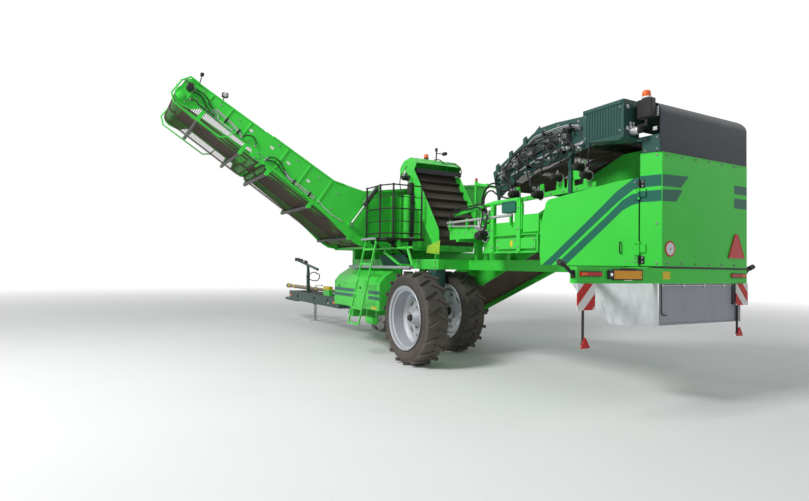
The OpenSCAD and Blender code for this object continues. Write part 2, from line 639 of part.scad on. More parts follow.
module bunker() color(leaf) {
    top = [[60, bunker_z_left], [3260, bunker_z_right]];
    // The flanges start clear of the raised conveyor's walls
    flange = [flange_x, bunker_z_left + (bunker_z_right - bunker_z_left) * (flange_x - top[0][0])
        / (top[1][0] - top[0][0])];
    for (y = [bunker_y0, bunker_y1 - sheet_t])
        rear_plate(y, sheet_t, [[140, bunker_floor_z - 60], [2860, bunker_floor_z - 60],
            [2860, bunker_floor_z], top[1], top[0], [60, 2500], [140, 2420]]);
    // Sloping right wall
    rear_plate(bunker_y0 + sheet_t, bunker_y1 - bunker_y0 - 2 * sheet_t, [[2850, bunker_floor_z],
        [2860, bunker_floor_z], top[1], [top[1][0] - 12, top[1][1]]]);
    // Top flanges and upright folds of the long walls
    for (y = [bunker_y0 - 40, bunker_y1])
        rear_plate(y, 40, [flange - [0, 50], top[1] - [0, 50], top[1], flange]);
    for (x = [700, 1400, 2100, 2700], y = [bunker_y0 - 30, bunker_y1])
        block([x, y, bunker_floor_z], [x + 70, y + 30, bunker_z_left - 40]);
    // Floor beams that the web runs over
    for (x = [200, 1500, 2750])
        block([x, bunker_y0 + sheet_t, bunker_floor_z - 60],
            [x + 80, bunker_y1 - sheet_t, bunker_floor_z - 10]);
    // Rollers of the web
    for (x = bunker_web_x)
        shaft_y(x, bunker_y0 + sheet_t, bunker_y1 - sheet_t, bunker_web_z, roller_r - seat);
    // Brackets outside the walls with the pins of the conveyor root
    for (s = [0, 1]) translate([0, s * (bunker_y0 + bunker_y1), 0]) mirror([0, s, 0]) {
        rear_plate(conv_y0 - 30, 20, [[-40, 2110], [360, 2050], [360, 2200], [180, 2300], [-40, 2300]]);
        block([240, conv_y0 - 20, 2060], [360, bunker_y0 + 5, 2160]);
        shaft_y(conv_root[0], conv_y0 - 40, conv_y0 + sheet_t - 4, conv_root[1], pivot_r);
    }
    // Bracket and pin of the lift cylinder on the top flange
    rear_plate(lift_y + 51, 14, [[270, 3220], [400, 3220], [360, 3340], [300, 3340]]);
    block([270, lift_y + 51, 3214], [400, bunker_y0 - 30, 3240]);
    shaft_y(lift_base[0], lift_y - 50, lift_y + 55, lift_base[1], cyl_pin_r);
}
// Rollers of the bunker floor web
bunker_web_x = [250, 2710];
flange_x = 350;
bunker_web_z = bunker_floor_z + roller_r + belt_t + rod_d;

module bunker_web() color(earth) translate([bunker_web_x[0], bunker_y1 - 18, bunker_web_z])
    rotate([0, 0, -90]) web(bunker_web_x[1] - bunker_web_x[0], roller_r, bunker_y1 - bunker_y0 - 36,
        [60, 830, bunker_y1 - bunker_y0 - 96]);

module platform() color(soot) {
    block([0, 4640, platform_z - 40], [840, 5640, platform_z]);
    for (y = [ladder_y[0] - 18, ladder_y[1] + 36])
        block([ladder_pivot[0] - 20, y, 2170], [20, y + 12, platform_z]);
    for (y = [ladder_y[0] - 12, ladder_y[1] + 4])
        shaft_y(ladder_pivot[0], y, y + 38, ladder_pivot[1], ladder_pin_r);
    for (y = [4760, 5480]) {
        block([left_rail_x + 20, y, rail_top], [left_rail_x + 80, y + 60, platform_z - 40]);
        strut([left_rail_x + 20, y + 30, rail_top + 40], [120, y + 30, platform_z - 60], 24);
    }
}

module railing() color(soot) {
    tops = platform_z + rail_height;
    for (p = rail_posts) post_z(p[0], p[1], platform_z, tops, 18);
    for (z = [platform_z + 90, platform_z + 560, tops - 20], i = [0 : 2])
        strut([rail_posts[i][0], rail_posts[i][1], z], [rail_posts[i + 1][0], rail_posts[i + 1][1], z], 13);
}
// Posts of the railing, [x, y]
rail_posts = [[30, 5560], [30, 4960], [160, 4670], [780, 4670]];

module ladder() color(leaf) translate([ladder_pivot[0], 0, ladder_pivot[1]]) rotate([0, ladder_a, 0]) {
    difference() {
        for (y = ladder_y) block([-14, y, -ladder_l], [14, y + 30, 26]);
        shaft_y(0, ladder_y[0] - 1, ladder_y[1] + 31, 0, ladder_pin_r + running);
    }
    for (i = [0 : rung_n - 1])
        block([-14, ladder_y[0] + 30, -ladder_l + i * rung_pitch],
            [14, ladder_y[1], -ladder_l + 30 + i * rung_pitch]);
}
ladder_pin_r = 8;
ladder_y = [4960, 5430];
rung_n = 6;
rung_pitch = 290;

module left_cover() color(leaf) {
    // Folded sheet, then its end plates
    outline = [[0, 850], [0, 1370], [110, 1500], [360, 1660], [380, 1660], [380, 1652], [363, 1652],
        [115, 1493], [8, 1366], [8, 850]];
    rear_plate(4860, 2240, outline);
    for (y = [4860, 7092])
        rear_plate(y, 8, [[0, 850], [0, 1370], [110, 1500], [360, 1660], [460, 1660], [460, 850]]);
    block([8, 5900, 1300], [left_rail_x, 5960, 1360]);
    block([left_rail_x, 5900, 1300], [left_rail_x + 40, 5960, rail_z]);
}

// Unloading conveyor, in its own frame: u runs up the slope to the left, v is square to it
module conveyor_place(y) translate([conv_root[0], y, conv_root[1]]) rotate([0, conv_a, 0])
    mirror([1, 0, 0]) children();

conv_y0 = bunker_y0 - 24;
conv_y1 = bunker_y1 + 24;

module conveyor() color(leaf) conveyor_place(conv_y0) {
    w = conv_y1 - conv_y0;
    difference() {
        for (y = [0, w - sheet_t])
            wall(y, [[-90, -80], [60, -150], [300, -150], [1000, -60], [conv_l - 200, -20],
                [conv_l - 120, -70], [conv_l + 150, -70], [conv_l + 150, conv_end_h],
                [conv_kink_u, conv_h], conv_corner, [-90, 70]]);
        cross(0, 0, pivot_r + running, -1, w + 1);
        cross(conv_l, 0, fold_r + running, -1, w + 1);
    }
    for (u = [260, 1300, 2300]) cross(u, -150, 36, -5, w + 5);
    for (u = [260, 1300, 2300], y = [-5, w - 5]) translate([u - 40, y, -160]) cube([80, 10, 165]);
    for (u = [60, conv_l - 260]) cross(u, 0, roller_r - seat, sheet_t - 2, w - sheet_t + 2);
    // Boss of the lift cylinder; the rod's eye runs before it, free of it
    cross(lift_pin[0], lift_pin[1], 45, lift_y - conv_y0 + 46, 4);
}
conv_kink_u = 1175;
conv_corner = [465, 867];
conv_end_h = 495;
fold_r = 30;

// A wall of the conveyor: points are [u, v], from y to y + the sheet's thickness
module wall(y, points) translate([0, y + sheet_t, 0]) rotate([90, 0, 0])
    linear_extrude(sheet_t) polygon(points);

module cross(u, v, r, y0, y1) translate([u, y0, v]) rotate([-90, 0, 0]) cylinder(h = y1 - y0, r = r);

module conveyor_web() color(earth) conveyor_place(conv_y0) {
    w = conv_y1 - conv_y0;
    translate([60, w - 20, 0]) rotate([0, 0, -90])
        web(conv_l - 320, roller_r, w - 40, [60, w / 2 - 20, w - 100]);
}

module conveyor_head() color(leaf) conveyor_place(conv_y0) {
    y0 = sheet_t + 6;
    w = conv_y1 - conv_y0 - 2 * y0;
    for (y = [y0, y0 + w - sheet_t])
        wall(y, concat([[conv_l - 60, -60], [conv_l + 90, -60], [conv_l + 170, 50],
                [conv_l + head_l - 390, 55], [conv_l + head_l - 270, -80]],
            [for (a = [-105 : 15 : 30]) [conv_l + head_l - 65 + 185 * cos(a), 60 + 185 * sin(a)]],
            [[conv_l + head_l + 80, 330], [conv_l + head_l + 30, head_h - 20],
                [conv_l + head_l - 110, head_h], [conv_l - 60, conv_end_h]]));
    for (u = [conv_l, conv_l + head_l]) cross(u, 0, roller_r - seat, y0 + sheet_t, y0 + w - sheet_t);
    // Pins of the fold
    for (y = [-14, w + y0 - 2]) cross(conv_l, 0, fold_r, y, y + y0 + 16);
    for (u = [conv_l + 300, conv_l + 1200]) {
        cross(u, -150, 28, y0 - 5, y0 + w + 5);
        for (y = [y0 - 5, y0 + w - 5]) translate([u - 35, y, -160]) cube([70, 10, 230]);
    }
    // Tube guards round the head on both sides, [u, v] along them
    for (y = [-30, conv_y1 - conv_y0 + 30])
        guard(y, [[conv_l + head_l - 110, 385], [conv_l + head_l + 60, 380], [conv_l + head_l + 135, 230],
            [conv_l + head_l + 135, -60], [conv_l + head_l + 10, -175], [conv_l + 740, -165],
            [conv_l + 620, -60], [conv_l + 600, 70]]);
    for (u = [conv_l + 600, conv_l + head_l - 110], y = [[-30, y0 + 2], [w + y0 - 2, w + 2 * y0 + 30]])
        cross(u, u > conv_l + 1000 ? 385 : 70, 12, y[0], y[1]);
}
// A bent tube in the plane y: its joints are balls a little wider than the tube
module guard(y, points) {
    for (i = [1 : len(points) - 1])
        strut([points[i - 1][0], y, points[i - 1][1]], [points[i][0], y, points[i][1]], 14);
    for (p = points) translate([p[0], y, p[1]]) sphere(15.5);
}

module head_web() color(earth) conveyor_place(conv_y0) {
    y0 = 2 * sheet_t + 10;
    w = conv_y1 - conv_y0 - 2 * y0;
    translate([conv_l, y0 + w, 0]) rotate([0, 0, -90])
        web(head_l, roller_r, w, [60, w / 2, w - 60]);
}

module drawbar() color(pine) difference() {
    union() {
        for (x = [eye_x - 300, eye_x + 300 - 20])
            side_plate(x, 20, [[8050, 640], [12000, 640], [12000, 900], [8050, 900]]);
        block([eye_x - 280, 8050, 640], [eye_x + 280, 8250, 900]);
        block([eye_x - 280, 8900, 640], [eye_x + 280, 9100, 660]);
        block([eye_x - 280, 10400, 640], [eye_x + 280, 10700, 660]);
        block([eye_x - 280, 11900, 640], [eye_x + 280, 12000, 900]);
        linear_slab(640, 20, [[eye_x - 300, 12000], [eye_x + 300, 12000], [eye_x + 90, 12900],
            [eye_x - 90, 12900]]);
        block([eye_x - 70, 12000, 560], [eye_x + 70, 13060, 640]);
        post_z(eye_x, eye_y, eye_z - 24, eye_z + 24, 62);
        block([eye_x - 40, 13040, eye_z - 24], [eye_x + 40, eye_y - 40, eye_z + 24]);
        // Root eye and its neck
        post_z(eye_x, head_pivot_y, head_lug_z[0] + 60 + 6, head_lug_z[1] - 6, 90);
        block([eye_x - 70, head_pivot_y + 60, 640], [eye_x + 70, 8060, 900]);
        // Lugs of the steering cylinder
        for (z = [steer_z - 72, steer_z + 47])
            linear_slab(z, 25, [[eye_x + 300, steer_eye[1] - 60], [steer_eye[0] + 30, steer_eye[1] - 40],
                [steer_eye[0] + 30, steer_eye[1] + 40], [eye_x + 300, steer_eye[1] + 60]]);
        for (z = [-78, 52]) post_z(steer_eye[0], steer_eye[1], steer_z + z, steer_z + z + 26, cyl_pin_r);
        // Jack sleeve on the right side
        block([eye_x + 300, jack_y - 60, 500], [eye_x + 420, jack_y + 60, 1000]);
    }
    post_z(eye_x, eye_y, eye_z - 30, eye_z + 30, eye_bore_d / 2);
    post_z(eye_x, head_pivot_y, 500, 1100, pivot_r + running);
    block([eye_x + 324, jack_y - 36, 499], [eye_x + 396, jack_y + 36, 1001]);
    for (y = [8500, 9500, 10900]) shaft_x(eye_x - 400, eye_x + 400, y + 300, 770, 75);
}
jack_y = 11500;

module jack_leg() color(steel) {
    block([eye_x + 324 + seat, jack_y - 36 + seat, 20], [eye_x + 396 - seat, jack_y + 36 - seat, 960]);
    block([eye_x + 240, jack_y - 120, 0], [eye_x + 480, jack_y + 120, 20]);
}

module pto_shaft() color(slate) {
    shaft_y(eye_x, 10960, pto_end - 140, 1010, 55);
    shaft_y(eye_x, 8260, 10960, 1010, 45);
    for (y = [8300, 10900]) {
        block([eye_x - 60, y, 900], [eye_x + 60, y + 60, 1010]);
        block([eye_x - 280, y, 860], [eye_x + 280, y + 60, 900]);
    }
    for (y = [8200, pto_end - 150]) shaft_y(eye_x, y, y + 80, 1010, 75);
    // Splined stub that takes the towing vehicle's shaft; it ends behind the drawbar's pin
    shaft_y(eye_x, pto_end - 100, pto_end, 1010, pto_stub_d / 2);
}

pto_stub_d = 35;
pto_end = eye_y - 40;

module hose_arm() color(pine) {
    // Post and forward-rising arm that carry the hoses to the tractor
    block([eye_x - 300, 10400, 900], [eye_x - 240, 10460, 1680]);
    strut([eye_x - 270, 9650, 1576], [eye_x - 270, 11410, 1830], 34);
}

module rod_barrel(l, r_out, r_in, eye_r) {
    // Barrel along +Y with its eye at the origin, pin along Z
    difference() {
        union() {
            post_z(0, 0, -45, 45, eye_r);
            shaft_y(0, eye_r - 12, l, 0, r_out);
        }
        post_z(0, 0, -50, 50, cyl_pin_r + running);
        shaft_y(0, eye_r + 20, l + 1, 0, r_in + running);
    }
}
module rod_bar(l0, l, r, eye_r) {
    // Rod from l0 to its eye at l, which carries its own pin between the lugs
    shaft_y(0, l0, l - eye_r + 12, 0, r);
    post_z(0, l, -40, 40, eye_r);
}

module on_steer() translate([steer_base[0], steer_base[1], steer_z])
    rotate([0, 0, atan2(steer_eye[1] - steer_base[1], steer_eye[0] - steer_base[0]) - 90]) children();

module steer_barrel() color(soot) on_steer() rod_barrel(700, 40, 22, 42);
module steer_rod() color(steel) on_steer() rod_bar(330, len2(steer_base, steer_eye), 22, 36);

module on_digger_cylinder() translate([dig_cyl_x, dig_cyl_base[0], dig_cyl_base[1]])
    rotate([slope(dig_cyl_base, dig_cyl_eye), 0, 0]) rotate([0, 90, 0]) children();

module digger_barrel() color(soot) on_digger_cylinder() rod_barrel(480, 42, 22, 40);
module digger_rod() color(steel) on_digger_cylinder()
    rod_bar(330, len2(dig_cyl_base, dig_cyl_eye), 22, 36);

// Lift cylinder of the conveyor, [x, z] of its base and its eye
lift_base = [330, 3300];
lift_eye = [-250, 2530];
lift_y = conv_y0 - 76;
// The lift cylinder's eye in the conveyor's own frame
lift_pin = [(conv_root[0] - lift_eye[0]) * cos(conv_a) + (lift_eye[1] - conv_root[1]) * sin(conv_a),
    (lift_eye[0] - conv_root[0]) * sin(conv_a) + (lift_eye[1] - conv_root[1]) * cos(conv_a)];
module on_lift() translate([lift_base[0], lift_y, lift_base[1]])
    rotate([0, -atan2(lift_eye[1] - lift_base[1], lift_eye[0] - lift_base[0]), 0])
        rotate([90, 0, 0]) rotate([0, 0, -90]) children();
module lift_barrel() color(soot) on_lift() rod_barrel(480, 40, 22, 36);
module lift_rod() color(steel) on_lift() rod_bar(235, len2(lift_base, lift_eye), 22, 34);

module digger_frame() color(leaf) {
    for (x = [dig_x0 - plate_t, dig_x1]) difference() {
        side_plate(x, plate_t, [[6340, 1010], [6340, 1200], [6520, 1260], [8300, 640], [8880, 520],
            [9120, 240], [9120, 150], [8960, 150], [8800, 260], [8700, 156], [8480, 140], [8200, 170]]);
        shaft_x(x - 1, x + plate_t + 1, dig_pivot[0], dig_pivot[1], pivot_r + running);
    }
    // Shaft of the ridge rollers, bar under the shares, cross tube of the lift cylinder
    shaft_x(dig_x0 - 2, dig_x1 + 2, ridge_y, ridge_r, 25);
    side_plate(dig_x0 - 2, dig_x1 - dig_x0 + 4, [[8560, 266], [8640, 210.5], [8640, 160], [8560, 200]]);
    shaft_x(dig_x0 - 2, dig_x1 + 2, 7960, dig_cyl_eye[1] - 125, 60);
    for (x = [dig_cyl_x - 62, dig_cyl_x + 42]) side_plate(x, 20, [[7880, 800], [8040, 800],
        [8010, 960], [7910, 960]]);
    for (x = [-68, 48]) shaft_x(dig_cyl_x + x, dig_cyl_x + x + 20, dig_cyl_eye[0], dig_cyl_eye[1], cyl_pin_r);
    // Drive roller and nose roller of the web
    for (p = [dig_web_top, dig_web_low]) shaft_x(dig_x0 - 2, dig_x1 + 2, p[0], p[1], roller_r - seat);
    for (s = disc_side) shaft_x(s[0], s[1], disc_y, disc_z, 30);
}
ridge_y = 9060;
disc_y = 8400;
disc_z = 330;
// Stub axles of the disc coulters, [from x, to x]
disc_side = [[dig_x0 - plate_t - 40, dig_x0 - plate_t], [dig_x1 + plate_t, dig_x1 + plate_t + 40]];

module digging_web() color(earth) along(dig_web_low, dig_web_top, dig_x0 + 8)
    web(len2(dig_web_low, dig_web_top), roller_r, dig_x1 - dig_x0 - 16,
        [60, (dig_x1 - dig_x0 - 16) / 2, dig_x1 - dig_x0 - 76]);

module shares() color(steel)
    for (i = [0 : 3]) side_plate(dig_x0 + 20 + i * 395, 375, [[8540, 300], [8540, 280], [8900, 30],
        [8920, 30], [8900, 60]]);

module ridge_roller(cx) color(slate) translate([cx, ridge_y, ridge_r]) rotate([0, 90, 0]) difference() {
    rotate_extrude() polygon([[25 + running, -300], [ridge_r, -300], [ridge_r, -240], [ridge_r - 60, -60],
        [ridge_r - 60, 60], [ridge_r, 240], [ridge_r, 300], [25 + running, 300]]);
}

module disc(x) color(steel) translate([x, disc_y, disc_z]) rotate([0, 90, 0]) rotate_extrude()
    polygon([[30 + running, 0], [90, 0], [90, 8], [disc_r - 12, 14], [disc_r, 17], [disc_r - 12, 20],
        [80, 20], [80, 30], [30 + running, 30]]);

mid_row = (dig_x0 + dig_x1) / 2;

framed() main_frame();
framed() axle_legs();
framed() oil_tank();
framed() translate([left_wheel_x, left_axle_y, tyre_r]) tyre();  // left_tyre
framed() translate([left_wheel_x, left_axle_y, tyre_r]) rim();  // left_rim
framed() translate([right_wheel_x, right_axle_y, tyre_r]) tyre();  // right_tyre
framed() translate([right_wheel_x, right_axle_y, tyre_r]) mirror([1, 0, 0]) rim();  // right_rim
framed() rear_bumper();
framed() warning_boards();
framed() rear_lamps();
framed() marker_arms();
framed() rear_panel();
framed() side_door();
framed() top_cover();
framed() rear_curtain();
framed() side_curtain();
framed() control_box();
framed() beacons();
framed() web_frame();
framed() main_web();
framed() upper_arm();
framed() upper_web();
framed() valve_rack();
framed() cleaning_rollers();
framed() picking_frame();
framed() picking_belt();
framed() elevator_frame();
framed() elevator_belt();
framed() elevator_hood();
framed() bunker();
framed() bunker_web();
framed() platform();
framed() railing();
framed() ladder();
framed() left_cover();
framed() conveyor();
framed() conveyor_web();
framed() conveyor_head();
framed() head_web();
framed() lift_barrel();
framed() lift_rod();
framed() drawbar();
framed() pto_shaft();
framed() hose_arm();
framed() jack_leg();
framed() steer_barrel();
framed() steer_rod();
framed() digger_frame();
framed() digging_web();
framed() shares();
framed() ridge_roller(mid_row - row_pitch / 2);  // left_ridge_roller
framed() ridge_roller(mid_row + row_pitch / 2);  // right_ridge_roller
framed() disc(dig_x0 - plate_t - 36);  // left_disc
framed() disc(dig_x1 + plate_t + 4);  // right_disc
framed() digger_barrel();
framed() digger_rod();
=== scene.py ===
"""Looks of a trailed potato harvester: paint, webs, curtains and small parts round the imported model."""
import math

import bpy
from mathutils import Matrix, Vector


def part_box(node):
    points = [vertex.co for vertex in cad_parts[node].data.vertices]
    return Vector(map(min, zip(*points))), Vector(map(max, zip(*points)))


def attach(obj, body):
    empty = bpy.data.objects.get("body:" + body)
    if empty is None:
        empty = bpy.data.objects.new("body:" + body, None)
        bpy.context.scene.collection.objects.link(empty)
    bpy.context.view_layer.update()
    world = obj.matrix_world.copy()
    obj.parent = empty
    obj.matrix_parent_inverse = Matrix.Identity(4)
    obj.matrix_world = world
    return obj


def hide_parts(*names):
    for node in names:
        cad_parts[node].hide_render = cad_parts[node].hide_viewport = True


bl_info = {
    "name": "Trailed Potato Harvester",
    "version": (1, 0, 0),
    "blender": (4, 5, 0),
    "location": "View3D > Sidebar > Harvester",
    "description": "Paints and equips the packed potato harvester",
    "category": "Object",
}

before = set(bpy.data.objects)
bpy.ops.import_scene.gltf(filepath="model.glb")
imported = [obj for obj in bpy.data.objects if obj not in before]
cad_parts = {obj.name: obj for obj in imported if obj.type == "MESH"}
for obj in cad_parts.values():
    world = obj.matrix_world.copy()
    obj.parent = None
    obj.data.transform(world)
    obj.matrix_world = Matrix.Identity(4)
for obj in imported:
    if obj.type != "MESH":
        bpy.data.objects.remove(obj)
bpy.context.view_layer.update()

# Places are written from the left side, the rear bumper and the ground, in metres
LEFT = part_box("rear_bumper")[0].x
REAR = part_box("rear_bumper")[0].y
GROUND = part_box("left_tyre")[0].z
ORIGIN = Vector((LEFT, REAR, GROUND))


def at(x, y, z):
    """A point in the model's frame, from the left side, the rear bumper and the ground."""
    return ORIGIN + Vector((x, y, z))


# Root pivot and slope of the unloading conveyor
CONVEYOR_ROOT = (0.040, 2.230)
CONVEYOR_SLOPE = math.radians(34)
CONVEYOR_NEAR = 5.776
CONVEYOR_FAR = 7.524
FOLD_U = 2.600
HEAD_U = 4.250


def up_conveyor(u, v, y):
    """A point on the conveyor: u up its slope, v square to it, y forward."""
    c, s = math.cos(CONVEYOR_SLOPE), math.sin(CONVEYOR_SLOPE)
    return at(CONVEYOR_ROOT[0] - u * c + v * s, y, CONVEYOR_ROOT[1] + u * s + v * c)


# Corner of the rear panel and direction of the oblique strip and door
CORNER = (1.470, 0.0)
DOOR_TURN = math.radians(20)
HINGE_L = 0.270


def on_door(l, z, out=0.0):
    """A point on the oblique strip or door: l from the corner, out of its face."""
    c, s = math.cos(DOOR_TURN), math.sin(DOOR_TURN)
    return at(CORNER[0] - l * s - out * c, CORNER[1] + l * c - out * s, z)


ELEVATOR_LOW = (4.320, 2.200)
ELEVATOR_SLOPE = math.radians(53)


def up_elevator(x, u, v):
    """A point on the elevator: u up its slope, v square to it."""
    c, s = math.cos(ELEVATOR_SLOPE), math.sin(ELEVATOR_SLOPE)
    return at(x, ELEVATOR_LOW[0] + u * c - v * s, ELEVATOR_LOW[1] + u * s + v * c)


class HarvesterColours(bpy.types.PropertyGroup):
    """Paint and material colours."""
    leaf: bpy.props.FloatVectorProperty(
        name="Body Paint", description="Bright green of the panels and frames",
        subtype="COLOR", size=3, default=(0.045, 0.64, 0.055))
    pine: bpy.props.FloatVectorProperty(
        name="Dark Paint", description="Dark blue-green of the arm, box and drawbar",
        subtype="COLOR", size=3, default=(0.018, 0.078, 0.066))
    stripe: bpy.props.FloatVectorProperty(
        name="Stripes", description="Teal bands on the panels",
        subtype="COLOR", size=3, default=(0.006, 0.125, 0.080))
    slate: bpy.props.FloatVectorProperty(
        name="Cover", description="Anthracite of the rear top cover",
        subtype="COLOR", size=3, default=(0.010, 0.020, 0.028))
    soot: bpy.props.FloatVectorProperty(
        name="Black Parts", description="Railing, hoses and plastic caps",
        subtype="COLOR", size=3, default=(0.012, 0.013, 0.014))
    canvas: bpy.props.FloatVectorProperty(
        name="Tarpaulin", description="Pale tarpaulin of the curtains",
        subtype="COLOR", size=3, default=(0.62, 0.65, 0.68))
    earth: bpy.props.FloatVectorProperty(
        name="Worn Steel", description="Earth-worn rods of the webs",
        subtype="COLOR", size=3, default=(0.085, 0.060, 0.044))
    dust: bpy.props.FloatVectorProperty(
        name="Dust", description="Dry field dust that lies on the lower parts",
        subtype="COLOR", size=3, default=(0.30, 0.245, 0.19))


class HarvesterSizes(bpy.types.PropertyGroup):
    """Sizes of the added pieces."""
    web_rod: bpy.props.FloatProperty(
        name="Web Rod", description="Diameter of a web rod", default=0.014, unit="LENGTH")
    web_pitch: bpy.props.FloatProperty(
        name="Web Pitch", description="Distance between web rods", default=0.035, unit="LENGTH")
    bolt: bpy.props.FloatProperty(
        name="Bolt", description="Width of a bolt head", default=0.022, unit="LENGTH")


# Materials

class Wire:
    """A socket of a material; arithmetic on it adds Math nodes."""

    def __init__(self, finish, socket):
        self.finish, self.socket = finish, socket

    def math(self, operation, *others):
        sockets = {i: v for i, v in enumerate((self, *others))}
        return self.finish.add("Math", {"operation": operation}, sockets)

    def __add__(self, other): return self.math("ADD", other)
    def __radd__(self, other): return self.math("ADD", other)
    def __sub__(self, other): return self.math("SUBTRACT", other)
    def __rsub__(self, other): return (self * -1).math("ADD", other)
    def __mul__(self, other): return self.math("MULTIPLY", other)
    def __rmul__(self, other): return self.math("MULTIPLY", other)
    def __truediv__(self, other): return self.math("DIVIDE", other)
    def above(self, other): return self.math("GREATER_THAN", other)
    def below(self, other): return self.math("LESS_THAN", other)
    def high(self, other): return self.math("MAXIMUM", other)
    def low(self, other): return self.math("MINIMUM", other)
    def fraction(self): return self.math("FRACT")
    def clamp(self): return self.high(0.0).low(1.0)


class Finish:
    """A procedural material with its Principled shader."""

    def __init__(self, name, **fixed):
        self.material = bpy.data.materials.new(name)
        self.material.use_nodes = True
        self.tree = self.material.node_tree
        self.shader = self.tree.nodes["Principled BSDF"]
        for socket, value in fixed.items():
            self.set(socket.replace("_", " "), value)
        self.place = self.add("TexCoord", out="Object")

    def add(self, kind, settings=None, sockets=None, out=0):
        node = self.tree.nodes.new("ShaderNode" + kind)
        for key, value in (settings or {}).items():
            if key == "stops":
                ramp = node.color_ramp
                while len(ramp.elements) < len(value):
                    ramp.elements.new(1.0)
                for element, (position, colour) in zip(ramp.elements, value):
                    element.position, element.color = position, (*colour, 1.0)
            else:
                setattr(node, key, value)
        for key, value in (sockets or {}).items():
            self.feed(node.inputs[key], value)
        return Wire(self, node.outputs[out])

    def feed(self, socket, value):
        if isinstance(value, Wire):
            self.tree.links.new(value.socket, socket)
        elif socket.type == "RGBA":
            socket.default_value = (*value, 1.0)
        else:
            socket.default_value = value

    def set(self, socket, value):
        self.feed(self.shader.inputs[socket], value)

    def axes(self):
        split = self.add("SeparateXYZ", sockets={0: self.place})
        return [Wire(self, split.socket.node.outputs[i]) for i in range(3)]

    def noise(self, scale, detail=3.0, roughness=0.5, vector=None):
        return self.add("TexNoise", sockets={
            "Vector": vector or self.place, "Scale": scale, "Detail": detail, "Roughness": roughness})

    def mix(self, mask, first, second):
        return self.add("Mix", {"data_type": "RGBA"}, {"Factor": mask, 6: first, 7: second}, out=2)

    def bump(self, height, strength, distance=0.002):
        self.set("Normal", self.add("Bump", sockets={
            "Height": height, "Strength": strength, "Distance": distance}))

    def band(self, value, low, high):
        """1 where the value lies between low and high."""
        return value.above(low) * value.below(high)

    def dusty(self, colour, amount, reach=1.6):
        """Field dust that thins out upwards and lies in patches."""
        z = self.axes()[2]
        height = ((z - GROUND) * (-1.0 / reach) + 1.0).clamp()
        patches = self.noise(2.3, 6.0, 0.65)
        fine = self.noise(34.0, 4.0, 0.7)
        mask = ((height + 0.22) * (patches * 0.9 + fine * 0.45) * amount).clamp()
        return self.mix(mask, colour, tuple(colours().dust)), mask


def colours():
    return bpy.context.scene.harvester_colours


def sizes():
    return bpy.context.scene.harvester_sizes


def paint(name, colour, dust=0.22, gloss=0.30, stripes=None, banded=None):
    """Sprayed paint: faint mottling, thin dust and a clear coat; a mask may lay a second colour on it."""
    f = Finish(name, Coat_Weight=0.06, Coat_Roughness=0.12, Specular_IOR_Level=0.22)
    mottle = f.noise(1.4, 5.0, 0.6)
    shade = f.mix(mottle, tuple(c * 0.86 for c in colour), tuple(min(1.0, c * 1.10) for c in colour))
    if stripes:
        shade = f.mix(stripes(f), shade, banded or tuple(colours().stripe))
    shade, mask = f.dusty(shade, dust)
    f.set("Base Color", shade)
    f.set("Roughness", mask * 0.45 + gloss + f.noise(9.0, 3.0) * 0.10)
    f.bump(f.noise(120.0, 2.0), 0.06, 0.001)
    return f.material


def polyline_band(f, across, along, points):
    """Mask of a stripe whose lower and upper edges bend: points are (across, low, high)."""
    total = None
    for (x0, low0, high0), (x1, low1, high1) in zip(points, points[1:]):
        share = (across - x0) / (x1 - x0)
        bottom = share * (low1 - low0) + low0
        top = share * (high1 - high0) + high0
        piece = f.band(across, min(x0, x1), max(x0, x1)) * along.above(bottom) * along.below(top)
        total = piece if total is None else total.high(piece)
    return total


def panel_stripes(f):
    """Two bands round the rear corner that stop short of the middle and start again at the right."""
    x, y, z = f.axes()
    x = x - LEFT
    z = z - GROUND
    upper = polyline_band(f, x, z, [(1.20, 2.765, 2.906), (1.85, 2.775, 2.93), (1.851, 2.776, 2.93),
            (2.009, 2.93, 2.934)])
    lower = polyline_band(f, x, z, [(1.20, 2.572, 2.705), (1.753, 2.586, 2.742), (1.88, 2.742, 2.746)])
    right = f.band(x, 3.03, 3.40) * (f.band(z, 2.79, 2.908).high(f.band(z, 2.59, 2.73)))
    rear = (y - REAR).below(0.9)
    return upper.high(lower).high(right) * rear


def door_stripes(f):
    """The two bands that run down the door to its lower front corner."""
    _, y, z = f.axes()
    l = (y - REAR) * (1.0 / math.cos(DOOR_TURN))
    z = z - GROUND
    upper = polyline_band(f, l, z, [(0.27, 2.765, 2.905), (0.33, 2.752, 2.895), (0.545, 2.59, 2.745),
                                    (0.91, 2.245, 2.38), (1.42, 1.76, 1.885), (1.56, 1.62, 1.76)])
    lower = polyline_band(f, l, z, [(0.27, 2.565, 2.700), (0.36, 2.545, 2.685), (0.48, 2.48, 2.615),
                                    (0.71, 2.255, 2.385), (1.22, 1.76, 1.90), (1.36, 1.62, 1.76)])
    return upper.high(lower)


def cover_stripes(f):
    """Two level bands along the left front cover."""
    x, y, z = f.axes()
    y, z = y - REAR, z - GROUND
    along = (f.band(y, 4.86, 5.35)).high(f.band(y, 5.95, 7.15))
    return along * f.band(z, 1.15, 1.225).high(f.band(z, 1.045, 1.115)) * (x - LEFT).below(0.05)


def roller_tubes(f):
    """The rubber-coated guide rollers under the unloading conveyor."""
    x, y, z = f.axes()
    root = up_conveyor(0, 0, 0)
    c, s = math.cos(CONVEYOR_SLOPE), math.sin(CONVEYOR_SLOPE)
    v = (x - root.x) * s + (z - root.z) * c
    return v.below(-0.108) * f.band(y - REAR, CONVEYOR_NEAR + 0.035, CONVEYOR_FAR - 0.035)


